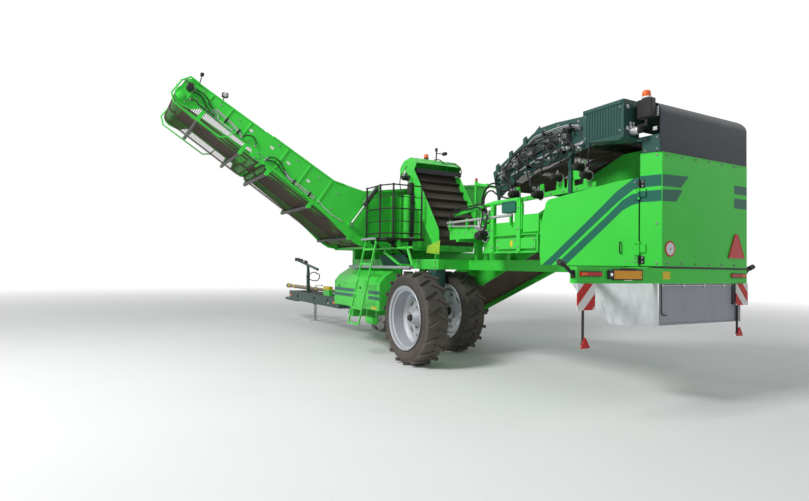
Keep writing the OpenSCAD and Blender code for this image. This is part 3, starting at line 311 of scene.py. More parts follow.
def steel(name, colour, dust=0.3, rough=0.38, metallic=0.85):
    f = Finish(name)
    grain = f.noise(60.0, 4.0, 0.6)
    blot = f.noise(5.0, 5.0, 0.65)
    shade = f.mix(blot, tuple(c * 0.78 for c in colour), tuple(min(1.0, c * 1.15) for c in colour))
    shade, mask = f.dusty(shade, dust)
    f.set("Base Color", shade)
    f.set("Metallic", mask * -metallic + metallic)
    f.set("Roughness", rough + grain * 0.16 + mask * 0.35)
    f.bump(grain, 0.10, 0.001)
    return f.material


def worn_rods(name):
    """Web rods: bright where crop rubs, brown with dried earth elsewhere."""
    f = Finish(name, Specular_IOR_Level=0.2)
    rub = f.noise(14.0, 5.0, 0.7)
    earth = tuple(colours().earth)
    shade = f.mix(rub, tuple(c * 0.5 for c in earth), tuple(min(1.0, c * 1.9) for c in earth))
    f.set("Base Color", shade)
    f.set("Metallic", (rub - 0.5).clamp() * 0.8)
    f.set("Roughness", 0.75 - rub * 0.3)
    f.bump(f.noise(90.0, 3.0), 0.3, 0.002)
    return f.material


def rubber(name, colour, dust=0.8, rough=0.72):
    f = Finish(name, Specular_IOR_Level=0.2)
    fine = f.noise(70.0, 4.0, 0.7)
    shade = f.mix(fine, tuple(c * 0.8 for c in colour), tuple(c * 1.5 for c in colour))
    shade, mask = f.dusty(shade, dust, 1.9)
    f.set("Base Color", shade)
    f.set("Roughness", rough + mask * 0.2)
    f.bump(fine, 0.18, 0.002)
    return f.material


def plastic(name, colour, rough=0.35, **fixed):
    f = Finish(name, Specular_IOR_Level=0.3, **fixed)
    fine = f.noise(45.0, 2.0)
    f.set("Base Color", f.mix(fine, tuple(c * 0.9 for c in colour),
            tuple(min(1.0, c * 1.08) for c in colour)))
    f.set("Roughness", rough + fine * 0.08)
    f.bump(fine, 0.05, 0.001)
    return f.material


def lens(name, colour, glow=0.0):
    """Ribbed lamp lens."""
    f = Finish(name, Coat_Weight=0.15, Coat_Roughness=0.05, Specular_IOR_Level=0.3)
    z = f.axes()[2]
    ribs = ((z * 90.0).fraction() - 0.5) * ((z * 90.0).fraction() - 0.5)
    f.set("Base Color", f.mix(f.noise(20.0), tuple(c * 0.8 for c in colour), colour))
    f.set("Roughness", 0.16 + ribs * 0.3)
    if glow:
        f.set("Emission Color", colour)
        f.set("Emission Strength", glow)
    f.bump(ribs, 0.35, 0.002)
    return f.material


def canvas(name, colour):
    """PVC tarpaulin with a fine weave, creases and stains."""
    f = Finish(name, Specular_IOR_Level=0.3)
    x, y, z = f.axes()
    weave = ((y + x) * 260.0).math("SINE") * (z * 260.0).math("SINE")
    stain = f.noise(3.5, 6.0, 0.7)
    shade = f.mix(stain, tuple(c * 0.72 for c in colour), tuple(min(1.0, c * 1.12) for c in colour))
    f.set("Base Color", f.dusty(shade, 0.35, 1.7)[0])
    f.set("Roughness", 0.5 + stain * 0.15)
    f.bump(weave * 0.25 + f.noise(11.0, 5.0, 0.7) * 2.0, 0.35, 0.003)
    return f.material


def warning_finish():
    """Red and white diagonals on the boards, orange-yellow bare plate, white round plate with a red ring."""
    f = Finish("warning_sheet", Specular_IOR_Level=0.2)
    x, y, z = f.axes()
    x, y, z = x - LEFT, y - REAR, z - GROUND
    left_side = x.below(1.5)
    tilt = left_side * -2.0 + 1.0
    wave = ((z + x * tilt) * 3.54 + tilt * 0.13 + 0.02).fraction()
    red = wave.above(0.5)
    colour = f.mix(red, (0.78, 0.78, 0.76), (0.55, 0.012, 0.012))
    board = f.band(z, 1.24, 1.549) * y.below(-0.003)
    colour = f.mix(board, (0.03, 0.03, 0.03), colour)
    plate = f.band(x, 0.57, 1.09) * f.band(z, 1.59, 1.71)
    border = f.band(x, 0.585, 1.075) * f.band(z, 1.603, 1.701)
    colour = f.mix(plate, colour, f.mix(border, (0.02, 0.02, 0.02), (0.85, 0.38, 0.03)))
    dx, dz = x - 1.63, z - 1.985
    r2 = dx * dx + dz * dz
    round_plate = r2.below(0.011)
    ring = r2.above(0.0062)
    colour = f.mix(round_plate, colour, f.mix(ring, (0.80, 0.80, 0.80), (0.60, 0.02, 0.02)))
    shade, mask = f.dusty(colour, 0.3)
    f.set("Base Color", shade)
    f.set("Roughness", 0.35 + mask * 0.4)
    f.bump(f.noise(200.0, 1.0), 0.05, 0.0005)
    return f.material


FINISHES = {}


def finishes():
    """Makes each material once."""
    if FINISHES:
        return FINISHES
    c = colours()
    leaf, pine, slate, soot = (tuple(v) for v in (c.leaf, c.pine, c.slate, c.soot))
    FINISHES.update(
        leaf=paint("leaf_paint", leaf),
        panel=paint("panel_paint", leaf, stripes=panel_stripes, dust=0.12),
        door=paint("door_paint", leaf, stripes=door_stripes, dust=0.10),
        cover=paint("left_cover_paint", leaf, stripes=cover_stripes),
        conveyor=paint("conveyor_paint", leaf, stripes=roller_tubes, banded=(0.020, 0.018, 0.016), dust=0.15),
        teal=paint("stripe_paint", tuple(c.stripe), gloss=0.36),
        pine=paint("pine_paint", pine, gloss=0.36),
        slate=paint("slate_cover", slate, gloss=0.42, dust=0.15),
        black=paint("black_paint", soot, gloss=0.4),
        steel=steel("bright_steel", (0.55, 0.56, 0.57)),
        zinc=steel("zinc_plate", (0.30, 0.31, 0.32), metallic=0.45, rough=0.5),
        iron=steel("dark_cast_iron", (0.16, 0.165, 0.17), metallic=0.5, rough=0.5),
        rim=steel("galvanised_rim", (0.50, 0.53, 0.57), dust=0.30, rough=0.42, metallic=0.55),
        chrome=steel("chromed_rod", (0.85, 0.85, 0.86), dust=0.1, rough=0.12, metallic=1.0),
        rods=worn_rods("worn_web_rods"),
        tyre=rubber("tyre_rubber", (0.050, 0.047, 0.046), dust=0.34),
        belt=rubber("belt_rubber", (0.030, 0.026, 0.022), dust=0.75, rough=0.6),
        hose=plastic("hose_rubber", soot, rough=0.42),
        cap=plastic("black_plastic", soot, rough=0.5),
        canvas=canvas("pale_tarpaulin", tuple(c.canvas)),
        # The rear curtain's tarpaulin: the pale tarpaulin painted darker grey, as painted shade on the rear
        # face
        grey_canvas=canvas("tarpaulin_painted_shade", (0.40, 0.42, 0.48)),
        grey=paint("grey_zinc_paint", (0.30, 0.32, 0.34), gloss=0.42),
        boards=warning_finish(),
        red=lens("red_lens", (0.62, 0.010, 0.010)),
        # Glows faintly: a lamp's glow on the beacons and turn lamps, a painted glow on the side reflectors
        orange=lens("orange_lens", (0.80, 0.13, 0.008), glow=0.12),
        yellow=plastic("yellow_label", (0.75, 0.55, 0.03)),
        white=plastic("white_plastic", (0.75, 0.75, 0.74)),
        flap=plastic("green_flap", (0.35, 0.62, 0.05), rough=0.3),
        beige=plastic("beige_guard", (0.30, 0.24, 0.17), rough=0.5),
        glass=plastic("lamp_glass", (0.45, 0.50, 0.52), rough=0.08),
    )
    return FINISHES


NODE_FINISH = {
    "leaf": "main_frame rear_bumper web_frame picking_frame elevator_frame bunker "
            "ladder digger_frame elevator_hood",
    "conveyor": "conveyor conveyor_head",
    "panel": "rear_panel", "door": "side_door", "cover": "left_cover",
    "pine": "axle_legs control_box upper_arm drawbar hose_arm",
    "slate": "top_cover oil_tank",
    "black": "railing platform marker_arms beacons lift_barrel steer_barrel digger_barrel "
             "left_ridge_roller right_ridge_roller",
    "steel": "cleaning_rollers jack_leg shares left_disc right_disc",
    "iron": "valve_rack",
    "rim": "left_rim right_rim",
    "chrome": "lift_rod steer_rod digger_rod",
    "tyre": "left_tyre right_tyre",
    "belt": "picking_belt elevator_belt",
    "beige": "pto_shaft",
    "boards": "warning_boards",
    "red": "rear_lamps",
    "rods": "main_web upper_web bunker_web conveyor_web head_web digging_web",
    # The rear curtain gets the pale tarpaulin painted darker grey, as painted shade
    "canvas": "side_curtain", "grey_canvas": "rear_curtain",
}


# Modelling helpers

def clear_selection():
    if bpy.context.object and bpy.context.object.mode != "OBJECT":
        bpy.ops.object.mode_set(mode="OBJECT")
    bpy.ops.object.select_all(action="DESELECT")


def only(obj):
    """Selects one object and makes it the active one."""
    clear_selection()
    obj.select_set(True)
    bpy.context.view_layer.objects.active = obj


def settle(obj):
    """Puts an object's place and turn into its mesh."""
    only(obj)
    bpy.ops.object.transform_apply(location=True, rotation=True, scale=True)
    return obj


def apply_modifiers(obj):
    only(obj)
    for modifier in list(obj.modifiers):
        bpy.ops.object.modifier_apply(modifier=modifier.name)
    return obj


def thicken(obj, thickness, offset=0.0):
    modifier = obj.modifiers.new("thickness", "SOLIDIFY")
    modifier.thickness, modifier.offset = thickness, offset
    return apply_modifiers(obj)


def facing(place, way):
    """A place whose Z axis points along the way."""
    return Matrix.Translation(place) @ Vector(way).to_track_quat("Z", "Y").to_matrix().to_4x4()


def bevelled(obj, width, segments=1):
    modifier = obj.modifiers.new("edges", "BEVEL")
    modifier.width, modifier.segments, modifier.limit_method = width, segments, "ANGLE"
    return apply_modifiers(obj)


def slab(low, high, edge=0.002):
    """A box with eased edges between two corners in the model's frame."""
    low, high = Vector(low), Vector(high)
    clear_selection()
    bpy.ops.mesh.primitive_cube_add(size=1.0, location=(low + high) / 2)
    obj = bpy.context.object
    obj.scale = [abs(v) for v in (high - low)]
    return bevelled(settle(obj), edge)


def block(low, high, edge=0.002):
    """A box like slab, between corners from the left side, the rear bumper and the ground."""
    return slab(at(*low), at(*high), edge)


def rod(start, end, radius, sides=12, edge=0.0):
    """A round bar between two points."""
    start, end = Vector(start), Vector(end)
    line = end - start
    clear_selection()
    bpy.ops.mesh.primitive_cylinder_add(vertices=sides, radius=radius, depth=line.length,
                                        location=(start + end) / 2,
                                        rotation=line.to_track_quat("Z", "Y").to_euler())
    obj = settle(bpy.context.object)
    return bevelled(obj, edge, 2) if edge else obj


def turned_part(start, direction, outline, sides=24):
    """A turned part: a disc extruded and scaled along its axis; outline is (along, radius) from the start."""
    clear_selection()
    along, radius = outline[0]
    bpy.ops.mesh.primitive_circle_add(vertices=sides, radius=max(radius, 1e-3), fill_type="NGON",
                                      location=(0, 0, along))
    obj = settle(bpy.context.object)
    bpy.ops.object.mode_set(mode="EDIT")
    bpy.ops.mesh.select_all(action="SELECT")
    for (a0, r0), (a1, r1) in zip(outline, outline[1:]):
        grow = max(r1, 1e-3) / max(r0, 1e-3)
        bpy.ops.mesh.extrude_region_move(TRANSFORM_OT_translate={"value": (0, 0, a1 - a0)})
        if abs(grow - 1) > 1e-6:
            bpy.ops.transform.resize(value=(grow, grow, 1), center_override=(0, 0, a1))
    bpy.ops.object.mode_set(mode="OBJECT")
    obj.location = Vector(start)
    obj.rotation_euler = Vector(direction).to_track_quat("Z", "Y").to_euler()
    settle(obj)
    face_outwards(obj)
    return smooth(obj)


def face_outwards(obj):
    only(obj)
    bpy.ops.object.mode_set(mode="EDIT")
    bpy.ops.mesh.select_all(action="SELECT")
    bpy.ops.mesh.normals_make_consistent(inside=False)
    bpy.ops.object.mode_set(mode="OBJECT")
    return obj


def smooth(obj, angle=35):
    only(obj)
    bpy.ops.object.shade_smooth_by_angle(angle=math.radians(angle))
    return obj


def sweep(path, radius, closed, sides, steps):
    """A round tube along a curve; path rows are (left handle, place, right handle), None for a smooth one."""
    clear_selection()
    bpy.ops.curve.primitive_bezier_curve_add()
    obj = bpy.context.object
    spline = obj.data.splines[0]
    spline.bezier_points.add(len(path) - 2)
    for point, (left, place, right) in zip(spline.bezier_points, path):
        if left is None:
            point.co = place
            point.handle_left_type = point.handle_right_type = "AUTO"
        else:
            point.handle_left_type = point.handle_right_type = "FREE"
            point.co, point.handle_left, point.handle_right = place, left, right
    spline.use_cyclic_u = closed
    obj.data.dimensions = "3D"
    obj.data.bevel_depth, obj.data.bevel_resolution = radius, sides
    obj.data.resolution_u = steps
    obj.data.use_fill_caps = not closed
    bpy.ops.object.convert(target="MESH")
    return smooth(settle(bpy.context.object), 60)


def hose(points, radius, closed=False, sides=3, steps=6):
    """A round tube along a smooth curve through the points."""
    return sweep([(None, Vector(p), None) for p in points], radius, closed, sides, steps)


def bent_tube(points, radius, closed=False, round_by=0.04):
    """A tube of straight runs with rounded bends."""
    pts = [Vector(p) for p in points]
    count = len(pts)
    path = []
    for i, p in enumerate(pts):
        if not closed and i in (0, count - 1):
            path.append((p, p, p))
            continue
        before, after = pts[i - 1], pts[(i + 1) % count]
        reach = min(round_by, (p - before).length * 0.45, (after - p).length * 0.45)
        a, b = p + (before - p).normalized() * reach, p + (after - p).normalized() * reach
        path.append((a, a, a + (p - a) * 0.55))
        path.append((b + (p - b) * 0.55, b, b))
    return sweep(path, radius, closed, 3, 5)


def beam(corners, thickness, edge=0.004):
    """A flat plate or profile with eased edges: corners in order round its face, thickness square to it."""
    clear_selection()
    bpy.ops.mesh.primitive_circle_add(vertices=len(corners), radius=1.0, fill_type="NGON")
    obj = bpy.context.object
    for vertex, place in zip(obj.data.vertices, corners):
        vertex.co = Vector(place)
    obj.data.update()
    obj.location = (0, 0, 0)
    return bevelled(face_outwards(thicken(obj, thickness)), edge)


def repeat(template, places):
    """Copies of the template at the given matrices, each with its own mesh, joined into one."""
    copies = []
    for place in places:
        made = template.copy()
        made.data = template.data.copy()
        made.matrix_world = place
        bpy.context.scene.collection.objects.link(made)
        copies.append(made)
    bpy.data.objects.remove(template)
    only(copies[0])
    for made in copies:
        made.select_set(True)
    bpy.ops.object.join()
    return settle(bpy.context.view_layer.objects.active)


def piece(name, parts, finish, body="chassis", *replaced, slot=None):
    """Joins parts into one named piece with a finish that rides on a body."""
    only(parts[0])
    for part in parts:
        part.select_set(True)
    if len(parts) > 1:
        bpy.ops.object.join()
    obj = settle(bpy.context.view_layer.objects.active)
    obj.name = obj.data.name = name
    obj.data.materials.clear()
    obj.data.materials.append(finishes()[finish])
    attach(obj, body)
    if replaced:
        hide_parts(*replaced)
    return obj


def bolts(places, normal, width=None, height=0.012):
    """Hexagon heads on washers at the places."""
    width = width or sizes().bolt
    normal = Vector(normal).normalized()
    head = turned_part((0, 0, 0), (0, 0, 1), [(0, width * 0.72), (0.003, width * 0.72), (0.003, width * 0.5),
                                             (height, width * 0.5), (height + 0.002, width * 0.40)], sides=6)
    return repeat(head, [facing(p, normal) for p in places])


def bolted(name, places, normal, width=None, height=0.012, body="chassis"):
    """A piece of bolt heads."""
    return piece(name, [bolts(places, normal, width, height)], "zinc", body)


# The stage

CAMERA_PLACE = (-4.63, -4.35, 1.71)
VIEW_TURN = math.radians(29.23)
VIEW_RISE = math.radians(1.63)
VIEW_ROLL = math.radians(1.02)
SENSOR_WIDTH = 36.0
FOCAL_PIXELS, IMAGE_WIDTH = 545, 809
LENS = FOCAL_PIXELS / IMAGE_WIDTH * SENSOR_WIDTH
FLOOR_SIZE = 160.0
LAMP_AIM = (1.5, 5.0, 1.5)
LAMPS = (((-12, 2, 12), 4.5, 2250), ((13, -3, 10), 9.0, 260))  # place, width, watts
SKY_COLOUR, SKY_STRENGTH = (0.94, 0.97, 1.0, 1.0), 0.36
WHITE = (1.0, 1.0, 1.0)


class HARVESTER_OT_stage(bpy.types.Operator):
    """Adds the camera, the pale floor and the soft studio light"""
    bl_idname = "harvester.stage"
    bl_label = "Stage"

    def execute(self, context):
        scene = context.scene
        scene.view_settings.view_transform = "Standard"
        forward = Vector((math.sin(VIEW_TURN) * math.cos(VIEW_RISE),
                          math.cos(VIEW_TURN) * math.cos(VIEW_RISE), math.sin(VIEW_RISE)))
        side = Vector((math.cos(VIEW_TURN), -math.sin(VIEW_TURN), 0))
        top = side.cross(forward)
        right = side * math.cos(VIEW_ROLL) + top * math.sin(VIEW_ROLL)
        up = top * math.cos(VIEW_ROLL) - side * math.sin(VIEW_ROLL)
        turn = Matrix((right, up, -forward)).transposed()
        clear_selection()
        bpy.ops.object.camera_add(location=at(*CAMERA_PLACE), rotation=turn.to_euler())
        camera = context.object
        camera.data.lens, camera.data.sensor_width = LENS, SENSOR_WIDTH
        camera.data.clip_end = 200.0
        scene.camera = camera
        self.floor()
        self.lamps()
        self.world(scene)
        return {"FINISHED"}

    def floor(self):
        clear_selection()
        bpy.ops.mesh.primitive_plane_add(size=FLOOR_SIZE, location=at(2, 6, 0))
        floor = bpy.context.object
        floor.name = "floor"
        f = Finish("pale_floor", Roughness=0.9)
        f.set("Base Color", f.mix(f.noise(0.6, 4.0), (0.76, 0.76, 0.755), (0.81, 0.81, 0.805)))
        # Far off the floor runs into the white backdrop
        x, y, _ = f.axes()
        away = ((x * x + y * y).math("SQRT") * 0.05 - 0.45).clamp()
        seen = self.seen_ray(f)
        glow = f.add("Emission", sockets={"Color": WHITE, "Strength": 1.0})
        mixed = f.add("MixShader", sockets={0: away * seen})
        f.tree.links.new(f.shader.outputs[0], mixed.socket.node.inputs[1])
        f.tree.links.new(glow.socket, mixed.socket.node.inputs[2])
        f.tree.links.new(mixed.socket, f.tree.nodes["Material Output"].inputs["Surface"])
        floor.data.materials.append(f.material)

    def seen_ray(self, f):
        """1 for rays of the camera, mirrors and glass."""
        rays = f.add("LightPath").socket.node
        camera, glossy, clear = (Wire(f, rays.outputs[name]) for name in (
            "Is Camera Ray", "Is Glossy Ray", "Is Transmission Ray"))
        return camera.high(glossy).high(clear)

    def lamps(self):
        aim = at(*LAMP_AIM)
        for place, size, power in LAMPS:
            clear_selection()
            spot = at(*place)
            bpy.ops.object.light_add(type="AREA", location=spot,
                                     rotation=(aim - spot).to_track_quat("-Z", "Y").to_euler())
            lamp = bpy.context.object
            lamp.data.size, lamp.data.energy = size, power

    def world(self, scene):
        world = bpy.data.worlds.new("studio")
        scene.world = world
        world.use_nodes = True
        tree = world.node_tree
        sky = tree.nodes["Background"]
        shown = tree.nodes.new("ShaderNodeBackground")
        sky.inputs["Color"].default_value = SKY_COLOUR
        sky.inputs["Strength"].default_value = SKY_STRENGTH
        shown.inputs["Color"].default_value = (*WHITE, 1.0)
        rays = tree.nodes.new("ShaderNodeLightPath")

        def highest(first, second):
            node = tree.nodes.new("ShaderNodeMath")
            node.operation = "MAXIMUM"
            tree.links.new(first, node.inputs[0])
            tree.links.new(second, node.inputs[1])
            return node.outputs[0]

        seen = highest(highest(rays.outputs["Is Camera Ray"], rays.outputs["Is Transmission Ray"]),
                       rays.outputs["Is Glossy Ray"])
        mixed = tree.nodes.new("ShaderNodeMixShader")
        for output, socket in ((seen, "Fac"), (sky.outputs[0], 1), (shown.outputs[0], 2)):
            tree.links.new(output, mixed.inputs[socket])
        tree.links.new(mixed.outputs[0], tree.nodes["World Output"].inputs["Surface"])


class HARVESTER_OT_paint(bpy.types.Operator):
    """Gives every node of the frame its finish"""
    bl_idname = "harvester.paint"
    bl_label = "Paint"

    def execute(self, context):
        for finish, names in NODE_FINISH.items():
            for name in names.split():
                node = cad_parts[name]
                node.data.materials.clear()
                node.data.materials.append(finishes()[finish])
        return {"FINISHED"}


# Rod webs: node, body, low and high roller centres, direction across, width

def web_table():
    across_x, across_y = Vector((1, 0, 0)), Vector((0, 1, 0))
    return [("main_web", "chassis", at(2.058, 6.18, 0.82), at(2.058, 0.60, 3.13), across_x, 1.234),
        ("upper_web", "chassis", at(1.480, 2.95, 3.13), at(1.480, 1.25, 3.56), across_x, 1.800),
        ("digging_web", "digger", at(1.848, 8.42, 0.33), at(1.848, 6.56, 1.06), across_x, 1.584),
        ("bunker_web", "chassis", at(0.25, 5.818, 2.222), at(2.71, 5.818, 2.222), across_y, 1.664),
        ("conveyor_web", "conveyor", up_conveyor(0.06, 0, 5.796), up_conveyor(2.34, 0, 5.796), across_y,
            1.708), ("head_web", "conveyor_head", up_conveyor(FOLD_U, 0, 5.806),
            up_conveyor(HEAD_U, 0, 5.806), across_y, 1.688),]


ROLLER_R = 0.076
BELT_T = 0.012
BELT_W = 0.070
BELT_MARGIN = 0.06
BEND_STEPS = 12


class HARVESTER_OT_webs(bpy.types.Operator):
    """Adds the rod webs: closely set rods riveted to rubber belts"""
    bl_idname = "harvester.webs"
    bl_label = "Rod Webs"

    def execute(self, context):
        for row in web_table():
            self.web(*row)
        return {"FINISHED"}

    def web(self, node, body, low, high, across, width):
        run = high - low
        length, along = run.length, run.normalized()
        up = across.cross(along)
        radius = ROLLER_R + BELT_T + sizes().web_rod / 2
        bend = math.pi * radius
        total = 2 * (length + bend)
        count = int(total / sizes().web_pitch)
        clear_selection()
        bpy.ops.mesh.primitive_cylinder_add(vertices=6, radius=sizes().web_rod / 2, depth=width)
        template = bpy.context.object
        places = []
        for i in range(count):
            s = total * i / count
            if s < length:
                spot = low + along * s + up * radius
            elif s < length + bend:
                t = (s - length) / radius
                spot = high + (up * math.cos(t) + along * math.sin(t)) * radius
            elif s < 2 * length + bend:
                spot = high - along * (s - length - bend) - up * radius
            else:
                t = (s - 2 * length - bend) / radius
                spot = low - (up * math.cos(t) + along * math.sin(t)) * radius
            places.append(facing(spot + across * width / 2, across))
        rods = piece(node + "_rods", [repeat(template, places)], "rods", body, node, slot="web_steel")
        smooth(rods, 70)
        belts = [self.belt(low, length, along, up, across, b)
                 for b in (BELT_MARGIN, width / 2, width - BELT_MARGIN)]
        piece(node + "_belts", belts, "belt", body, slot="belt_rubber")

    def belt(self, low, length, along, up, across, place):
        """A closed flat belt round both rollers."""
        inner = ROLLER_R + 0.001
        path = []
        for end, side in ((low + along * length, 1), (low, -1)):
            for k in range(BEND_STEPS + 1):
                t = math.pi * k / BEND_STEPS
                path.append(end + (up * math.cos(t) + along * math.sin(t)) * inner * side)
        clear_selection()
        bpy.ops.mesh.primitive_circle_add(vertices=len(path), radius=1.0)
        obj = bpy.context.object
        for vertex, spot in zip(obj.data.vertices, path):
            vertex.co = spot + across * (place - BELT_W / 2)
        bpy.ops.object.mode_set(mode="EDIT")
        bpy.ops.mesh.select_all(action="SELECT")
        bpy.ops.mesh.extrude_region_move(TRANSFORM_OT_translate={"value": across * BELT_W})
        bpy.ops.mesh.select_all(action="SELECT")
        bpy.ops.mesh.normals_make_consistent(inside=False)
        bpy.ops.object.mode_set(mode="OBJECT")
        return smooth(thicken(obj, BELT_T - 0.002, 1.0), 40)


SHEET_T = 0.0025


def draped_sheet(name, edge, finish, body, folds, node):
    """A hanging sheet: edge(u, v) gives its plane place, folds(u, v) how far it stands out of it."""
    clear_selection()
    bpy.ops.mesh.primitive_grid_add(x_subdivisions=90, y_subdivisions=36, size=1.0)
    obj = bpy.context.object
    for vertex in obj.data.vertices:
        u, v = vertex.co.x + 0.5, vertex.co.y + 0.5
        vertex.co = edge(u, v, folds(u, v))
    obj.data.update()
    thicken(settle(obj), SHEET_T)
    sheet = smooth(piece(name, [obj], finish, body, node, slot="tarpaulin"), 60)
    us = [(edge(i / 40, 0.5, folds(i / 40, 0.5)) - edge((i + 1) / 40, 0.5, folds((i + 1) / 40, 0.5))).length
          for i in range(40)]
    height = max((edge(u, 0.0, 0) - edge(u, 1.0, 0)).length for u in (0.0, 0.5))
    return sheet


class HARVESTER_OT_curtains(bpy.types.Operator):
    """Adds the pale curtains under the rear bumper and below the door; the rear one is the same tarpaulin
    painted darker grey as painted shade
    """
    bl_idname = "harvester.curtains"
    bl_label = "Curtains"

    def execute(self, context):
        def side_edge(u, v, out):
            # Level below, then a curve that rises to the front; the front edge leans back
            low = [(0.0, 1.017), (0.27, 0.998), (0.60, 0.998), (0.70, 1.12), (0.80, 1.205), (0.93, 1.30),
                (1.03, 1.385)]
            reach = u * (1.03 + 0.10 * v)
            spot = u * 1.03
            bottom = low[-1][1]
            for (l0, z0), (l1, z1) in zip(low, low[1:]):
                if l0 <= spot <= l1:
                    bottom = z0 + (z1 - z0) * (spot - l0) / (l1 - l0)
            z = bottom + (1.548 - bottom) * v
            c, s = math.cos(DOOR_TURN), math.sin(DOOR_TURN)
            return at(1.464 - reach * s - out * c, 0.048 + reach * c - out * s, z)

        def side_folds(u, v):
            loose = (1 - v) * 0.8 + 0.2
            crease = (0.014 * math.sin(u * 19 + 0.7 + v) + 0.009 * math.sin(u * 47 + v * 6)
                      + 0.005 * math.sin(u * 83 - v * 9))
            slack = 0.004 * math.sin(v * 11 + u * 7)
            return (0.010 + (loose * crease + slack) * (0.35 + u * 0.9)) * min(1.0, u * 10)

        def rear_edge(u, v, out):
            return at(1.472 + u * 1.776, 0.040 - out, 1.022 + v * 0.526)

        def rear_folds(u, v):
            return 0.0015 * math.sin(u * 21) * (1.2 - v) + 0.001 * math.sin(u * 57 + v * 4)

        draped_sheet("side_sheet", side_edge, "canvas", "chassis", side_folds, "side_curtain")
        # The rear sheet is the same tarpaulin as the side sheet, painted darker grey as painted shade
        draped_sheet("rear_sheet", rear_edge, "grey_canvas", "chassis", rear_folds, "rear_curtain")
        return {"FINISHED"}


DOOR_OUT = Vector((-math.cos(DOOR_TURN), -math.sin(DOOR_TURN), 0))
REFLECTORS = (0.120, 3.130)
LEFTWARDS, BACKWARDS, UPWARDS = Vector((-1, 0, 0)), Vector((0, -1, 0)), Vector((0, 0, 1))
RIGHTWARDS, FORWARDS = LEFTWARDS * -1, BACKWARDS * -1


def beside(x, pairs):
    """Points at one distance from the left side; pairs are (forward, height)."""
    return [at(x, y, z) for y, z in pairs]


def tucked(inner, outer, pairs):
    """A run that leaves a plate at the first pair and goes back into it at the last."""
    return [at(inner, *pairs[0]), *beside(outer, pairs), at(inner, *pairs[-1])]


def hose_bank(name, runs, radius, body="chassis"):
    """Hoses along rows of points, with pressed steel sleeves and nuts on their ends."""
    piece(name, [hose(points, radius) for points in runs], "hose", body)
    sleeve = turned_part((0, 0, 0), (0, 0, 1), [
        (-0.004, radius * 1.9), (0.014, radius * 1.9), (0.016, radius * 1.35), (0.020, radius * 1.35),
        (0.022, radius * 1.6), (0.050, radius * 1.5), (0.054, radius * 1.1)], 8)
    places = []
    for points in runs:
        for a, b in ((points[0], points[1]), (points[-1], points[-2])):
            places.append(facing(a, b - a))
    piece(name + "_fittings", [repeat(sleeve, places)], "zinc", body)


def motor(place, way, radius, length):
    """Body of a hydraulic motor: flange, ribs, end cap and two ports."""
    r, l, way = radius, length, Vector(way).normalized()
    body = turned_part(place, way, [
        (0, r * 1.25), (l * 0.07, r * 1.25), (l * 0.07, r), (l * 0.30, r), (l * 0.31, r * 0.92),
        (l * 0.35, r * 0.92), (l * 0.36, r), (l * 0.54, r), (l * 0.55, r * 0.92), (l * 0.59, r * 0.92),
        (l * 0.60, r), (l * 0.84, r), (l * 0.90, r * 0.80), (l, r * 0.74)], 20)
    across = way.cross(UPWARDS if abs(way.z) < 0.9 else LEFTWARDS).normalized()
    up = way.cross(across)
    up = up * -1 if up.z < 0 else up
    ports = [turned_part(Vector(place) + way * l * 0.45 + across * s * r * 0.45, up,
                         [(0, r * 0.26), (r * 1.05, r * 0.26), (r * 1.10, r * 0.34), (r * 1.38, r * 0.34),
                          (r * 1.42, r * 0.22)], 6) for s in (-1, 1)]
    return [body, *ports]


def valve(place, way, length=0.12):
    """A screwed-in solenoid valve: hexagon foot, coil and nut."""
    l = length
    return turned_part(place, way, [
        (0, l * 0.20), (l * 0.16, l * 0.20), (l * 0.17, l * 0.14), (l * 0.22, l * 0.14), (l * 0.23, l * 0.23),
        (l * 0.72, l * 0.23), (l * 0.73, l * 0.13), (l * 0.90, l * 0.13), (l, l * 0.09)], 12)


